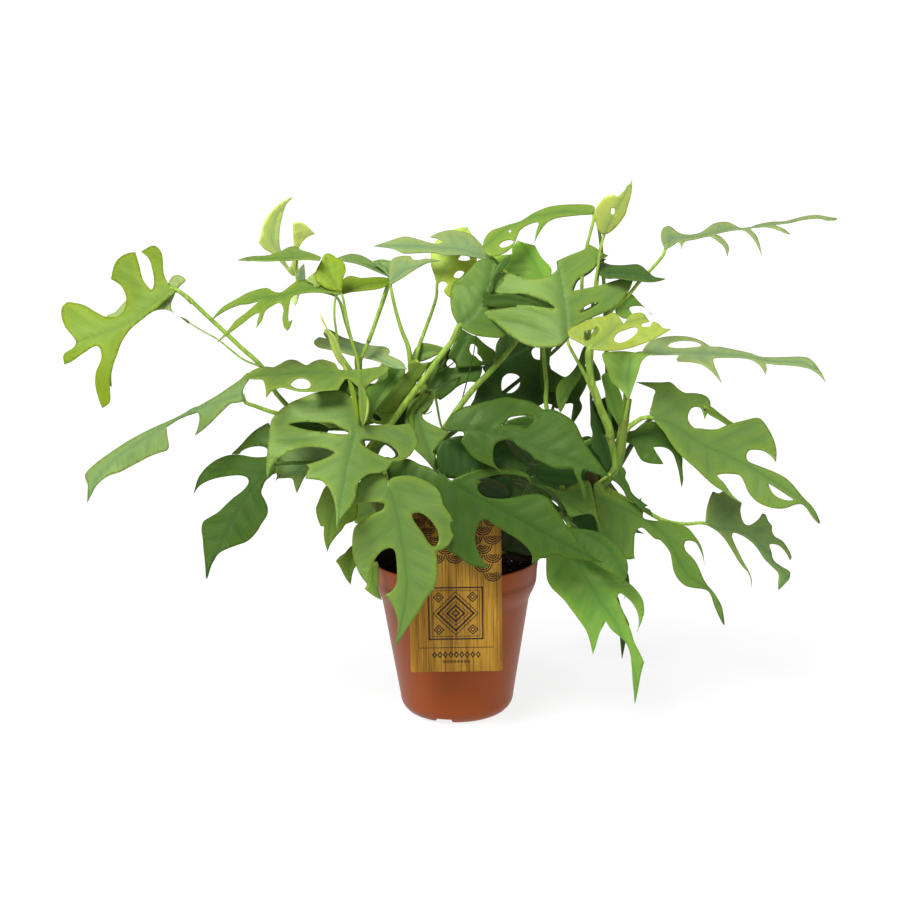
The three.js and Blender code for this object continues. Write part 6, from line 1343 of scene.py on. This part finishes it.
def soil_mound(parts):
    """The closed body of soil: the rough top, ring by ring, and the side and foot that the pot hides."""
    gap = POT_WALL + SOIL_GAP
    around = SOIL_SEGMENTS
    places = [(0, 0, soil_height(0, 0))]
    for step in range(1, SOIL_RINGS + 1):
        places += [(x, y, soil_height(x, y)) for x, y, _ in ring(SOIL_RADIUS * step / SOIL_RINGS, 0, around)]
    for radius, z in (
        (SOIL_RADIUS - 1.2, BAND_FOOT), (wall_radius(NECK_HEIGHT) - gap - 0.4, NECK_HEIGHT),
        (wall_radius(HEEL_HEIGHT + 2) - gap, HEEL_HEIGHT + 2), (FOOT_RADIUS, POT_FLOOR + SOIL_GAP),
    ):
        places += ring(radius, z, around)
    last = len(places) - around
    faces = [(0, 1 + k, 1 + (k + 1) % around) for k in range(around)]
    for start in range(1, last, around):
        for k in range(around):
            a, b = start + k, start + (k + 1) % around
            faces.append((a, a + around, b + around, b))
    faces.append(tuple(range(last, last + around))[::-1])
    parts.add(places, faces)


def ball():
    """Points and faces of a coarse ball of radius 1."""
    shape = bmesh.new()
    bmesh.ops.create_icosphere(shape, subdivisions=1, radius=1)
    shape.verts.index_update()
    places = np.array([v.co[:] for v in shape.verts])
    faces = [tuple(v.index for v in face.verts) for face in shape.faces]
    shape.free()
    return places, faces


def crumb(places, draw):
    """A ball's points as a squashed lump, its size, and whether it is a pale grain."""
    pale = draw.random() < PALE_SHARE
    size = draw.uniform(0.5, 1.1) if pale else draw.uniform(0.5, 1.9)
    squash = np.array([draw.uniform(0.6, 1.3), draw.uniform(0.6, 1.3), draw.uniform(0.5, 0.9)]) * size
    turn = np.array(Matrix.Rotation(draw.uniform(0, 6.3), 3, (draw.random(), draw.random(), 1)))
    lumps = places * (1 + 0.25 * np.array([draw.uniform(-1, 1) for _ in places]))[:, None]
    return (lumps * squash) @ turn.T, size, pale


def soil(surface, grain):
    """Crumbly potting mix: a rough mound, loose crumbs and a few pale grains."""
    parts = Parts()
    soil_mound(parts)
    indices = [0] * len(parts.faces)
    draw = seeded("soil")
    ball_places, ball_faces = ball()
    for _ in range(CRUMBS):
        radius = (SOIL_RADIUS - 2) * math.sqrt(draw.random())
        angle = draw.uniform(0, 2 * math.pi)
        x, y = radius * math.cos(angle), radius * math.sin(angle)
        lump, size, pale = crumb(ball_places, draw)
        parts.add(lump + (x, y, soil_height(x, y) + 0.25 * size), ball_faces)
        indices += [int(pale)] * len(ball_faces)
    return mesh_object("soil_bed", parts.places, parts.faces, [surface, grain], indices=indices)


def card(surface):
    """The hanging card with softened corners, the strip over the rim and the tongue in the soil."""
    left, right = CARD_LEFT + CARD_CORNER, CARD_RIGHT - CARD_CORNER
    bottom, top = CARD_BOTTOM + CARD_CORNER, CARD_TOP - CARD_CORNER
    loop = []
    for x, z, first in ((right, bottom, -90), (right, top, 0), (left, top, 90), (left, bottom, 180)):
        loop += arc(x, z, CARD_CORNER, first, first + 90, 6)
    count = len(loop)
    back = CARD_FRONT + CARD_THICKNESS
    faces = [tuple(range(count)), tuple(range(count, 2 * count))[::-1]]
    faces += [(i, i + count, (i + 1) % count + count, (i + 1) % count) for i in range(count)]
    parts = Parts()
    parts.add([(x, y, z) for y in (CARD_FRONT, back) for x, z in loop], faces)
    x0, x1 = TONGUE_CENTRE - TONGUE_WIDTH / 2, TONGUE_CENTRE + TONGUE_WIDTH / 2
    y0, y1 = TONGUE_FRONT, TONGUE_FRONT + CARD_THICKNESS
    parts.add(box_places(x0, x1, back - 0.4, y1, POT_HEIGHT + BRIDGE_GAP, POT_HEIGHT + BRIDGE), BOX_FACES)
    parts.add(box_places(x0, x1, y0, y1, TONGUE_FOOT, POT_HEIGHT + BRIDGE - 0.2), BOX_FACES)
    return mesh_object("card_panel", parts.places, parts.faces, [surface], smooth=False)


def stroke(points, width, closed=False):
    """A flat printed line of even width: the four corners of each stretch."""
    pieces = []
    for (ax, az), (bx, bz) in zip(points, points[1:] + points[:1] * closed):
        length = math.hypot(bx - ax, bz - az)
        dx, dz = (bx - ax) / length * width / 2, (bz - az) / length * width / 2
        pieces.append([(ax - dx + dz, az - dz - dx), (bx + dx + dz, bz + dz - dx),
                       (bx + dx - dz, bz + dz + dx), (ax - dx - dz, az - dz + dx)])
    return pieces


def lozenge(x, z, wide, high, width):
    return stroke([(x + wide, z), (x, z + high), (x - wide, z), (x, z - high)], width, closed=True)


def scales():
    """Rows of nested arcs behind the leaves, with room for the frame below."""
    shapes = []
    for row in range(8):
        for k in range(5):
            x = CARD_MIDDLE - 2 * SCALE_WIDTH + SCALE_WIDTH * k + (SCALE_WIDTH / 2 if row % 2 else 0)
            z = SCALES_FOOT + SCALE_HEIGHT * row
            if abs(x - CARD_MIDDLE) > 26.5 or (row < 2 and abs(x - CARD_MIDDLE) < 16):
                continue
            for radius in (6.0, 4.4, 2.8, 1.3):
                shapes += stroke(arc(x, z, radius, 187.2, 352.8, 7), 0.8)
    return shapes


def ornament():
    """Nested lozenges in a square frame, small ones in its corners, a rule and two rows of lozenges."""
    shapes = []
    corners = ((1, 1), (-1, 1), (-1, -1), (1, -1))
    for reach, width in ((18.6, 1.0), (16.6, 0.4)):
        frame_line = [(CARD_MIDDLE + reach * a, ORNAMENT_HEIGHT + reach * b) for a, b in corners]
        shapes += stroke(frame_line, width, closed=True)
    for reach, width in ((15.6, 0.6), (12.4, 1.3), (8.8, 0.5), (5.8, 1.2), (2.4, 0.9)):
        shapes += lozenge(CARD_MIDDLE, ORNAMENT_HEIGHT, reach, reach, width)
    for a, b in corners:
        for reach, width in ((3.4, 0.7), (1.6, 0.6)):
            shapes += lozenge(CARD_MIDDLE + 11.8 * a, ORNAMENT_HEIGHT + 11.8 * b, reach, reach, width)
    shapes += stroke([(CARD_MIDDLE - 25.5, RULE_HEIGHT), (CARD_MIDDLE + 25.5, RULE_HEIGHT)], 0.45)
    upper, lower = LOZENGE_HEIGHTS
    for k in range(9):
        shapes += lozenge(CARD_MIDDLE - 15.2 + 3.8 * k, upper, 1.3, 1.9, 0.7)
    for k in range(8):
        shapes += lozenge(CARD_MIDDLE - 8.4 + 2.4 * k, lower, 0.8, 1.0, 0.45)
    return shapes


def print_on_card(ink):
    """The plain printed pattern, as thin bars that stand a little out of the card."""
    bar = [(0, 1, 2, 3), (7, 6, 5, 4)] + [(i, i + 4, (i + 1) % 4 + 4, (i + 1) % 4) for i in range(4)]
    parts = Parts()
    for shape in ornament() + scales():
        parts.add([(x, y, z) for y in (CARD_FRONT - PRINT_OUT, CARD_FRONT + PRINT_IN) for x, z in shape], bar)
    return mesh_object("card_print", parts.places, parts.faces, [ink], smooth=False)


# ---------------------------------------------------------------- build


def dress(piece, node):
    """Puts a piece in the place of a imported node."""
    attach(piece, "root")
    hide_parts(node)


blades = {stem: [] for stem in STEMS}
for name, one in LEAVES.items():
    blades[one["stem"]].append(blade(name, one))
stalk_kind = stalk_surface("leaf_stalk", "85a340", 0.35)
stem_kind = stalk_surface("stem_skin", "5c7a29", 0.5)
for stem in STEMS:
    for piece in [*blades[stem], stalks(stem, stalk_kind), stems(stem, stem_kind)]:
        dress(piece, "leafy_stem_" + stem)
dress(pot(pot_surface()), "pot")
dress(soil(soil_surface(), grain_surface()), "soil")
dress(card(card_surface()), "label")
dress(print_on_card(ink_surface()), "label")

# ---------------------------------------------------------------- floor, light and camera

floor_box = box_places(-FLOOR_REACH, FLOOR_REACH, -FLOOR_REACH, FLOOR_REACH, -FLOOR_THICKNESS, 0)
floor = mesh_object("floor", floor_box, BOX_FACES, [floor_surface()], smooth=False)

world = bpy.data.worlds.new("studio")
world.use_nodes = True
world.node_tree.nodes["Background"].inputs["Color"].default_value = (1.0, 1.0, 1.0, 1)
world.node_tree.nodes["Background"].inputs["Strength"].default_value = 0.32
bpy.context.scene.world = world


def sun(name, toward, spread, strength):
    """A broad soft light from far off: toward points from the object to it."""
    data = bpy.data.lights.new(name, "SUN")
    data.angle = math.radians(spread)
    data.energy = strength
    made = bpy.data.objects.new(name, data)
    made.rotation_euler = Vector(toward).to_track_quat("Z", "Y").to_euler()
    bpy.context.scene.collection.objects.link(made)


sun("key", (-0.55, -0.7, 1.25), 30, 4.6)
sun("fill", (0.9, -0.8, 0.7), 60, 0.8)

forward = Vector((0, math.cos(VIEW_DOWN), -math.sin(VIEW_DOWN)))
right = Vector((1, 0, 0))
up = right.cross(forward)
across = math.cos(ROLL) * right + math.sin(ROLL) * up
upward = -math.sin(ROLL) * right + math.cos(ROLL) * up
camera = bpy.data.objects.new("camera", bpy.data.cameras.new("camera"))
camera.data.sensor_width = 36
camera.data.lens = FOCAL_LENGTH / FRAME_WIDTH * camera.data.sensor_width
camera.data.clip_end = 200
turned = Matrix((across, upward, -forward)).transposed().to_4x4()
camera.matrix_world = Matrix.Translation(Vector(EYE * MM)) @ turned
bpy.context.scene.collection.objects.link(camera)
bpy.context.scene.camera = camera
bpy.context.scene.view_settings.view_transform = "Standard"
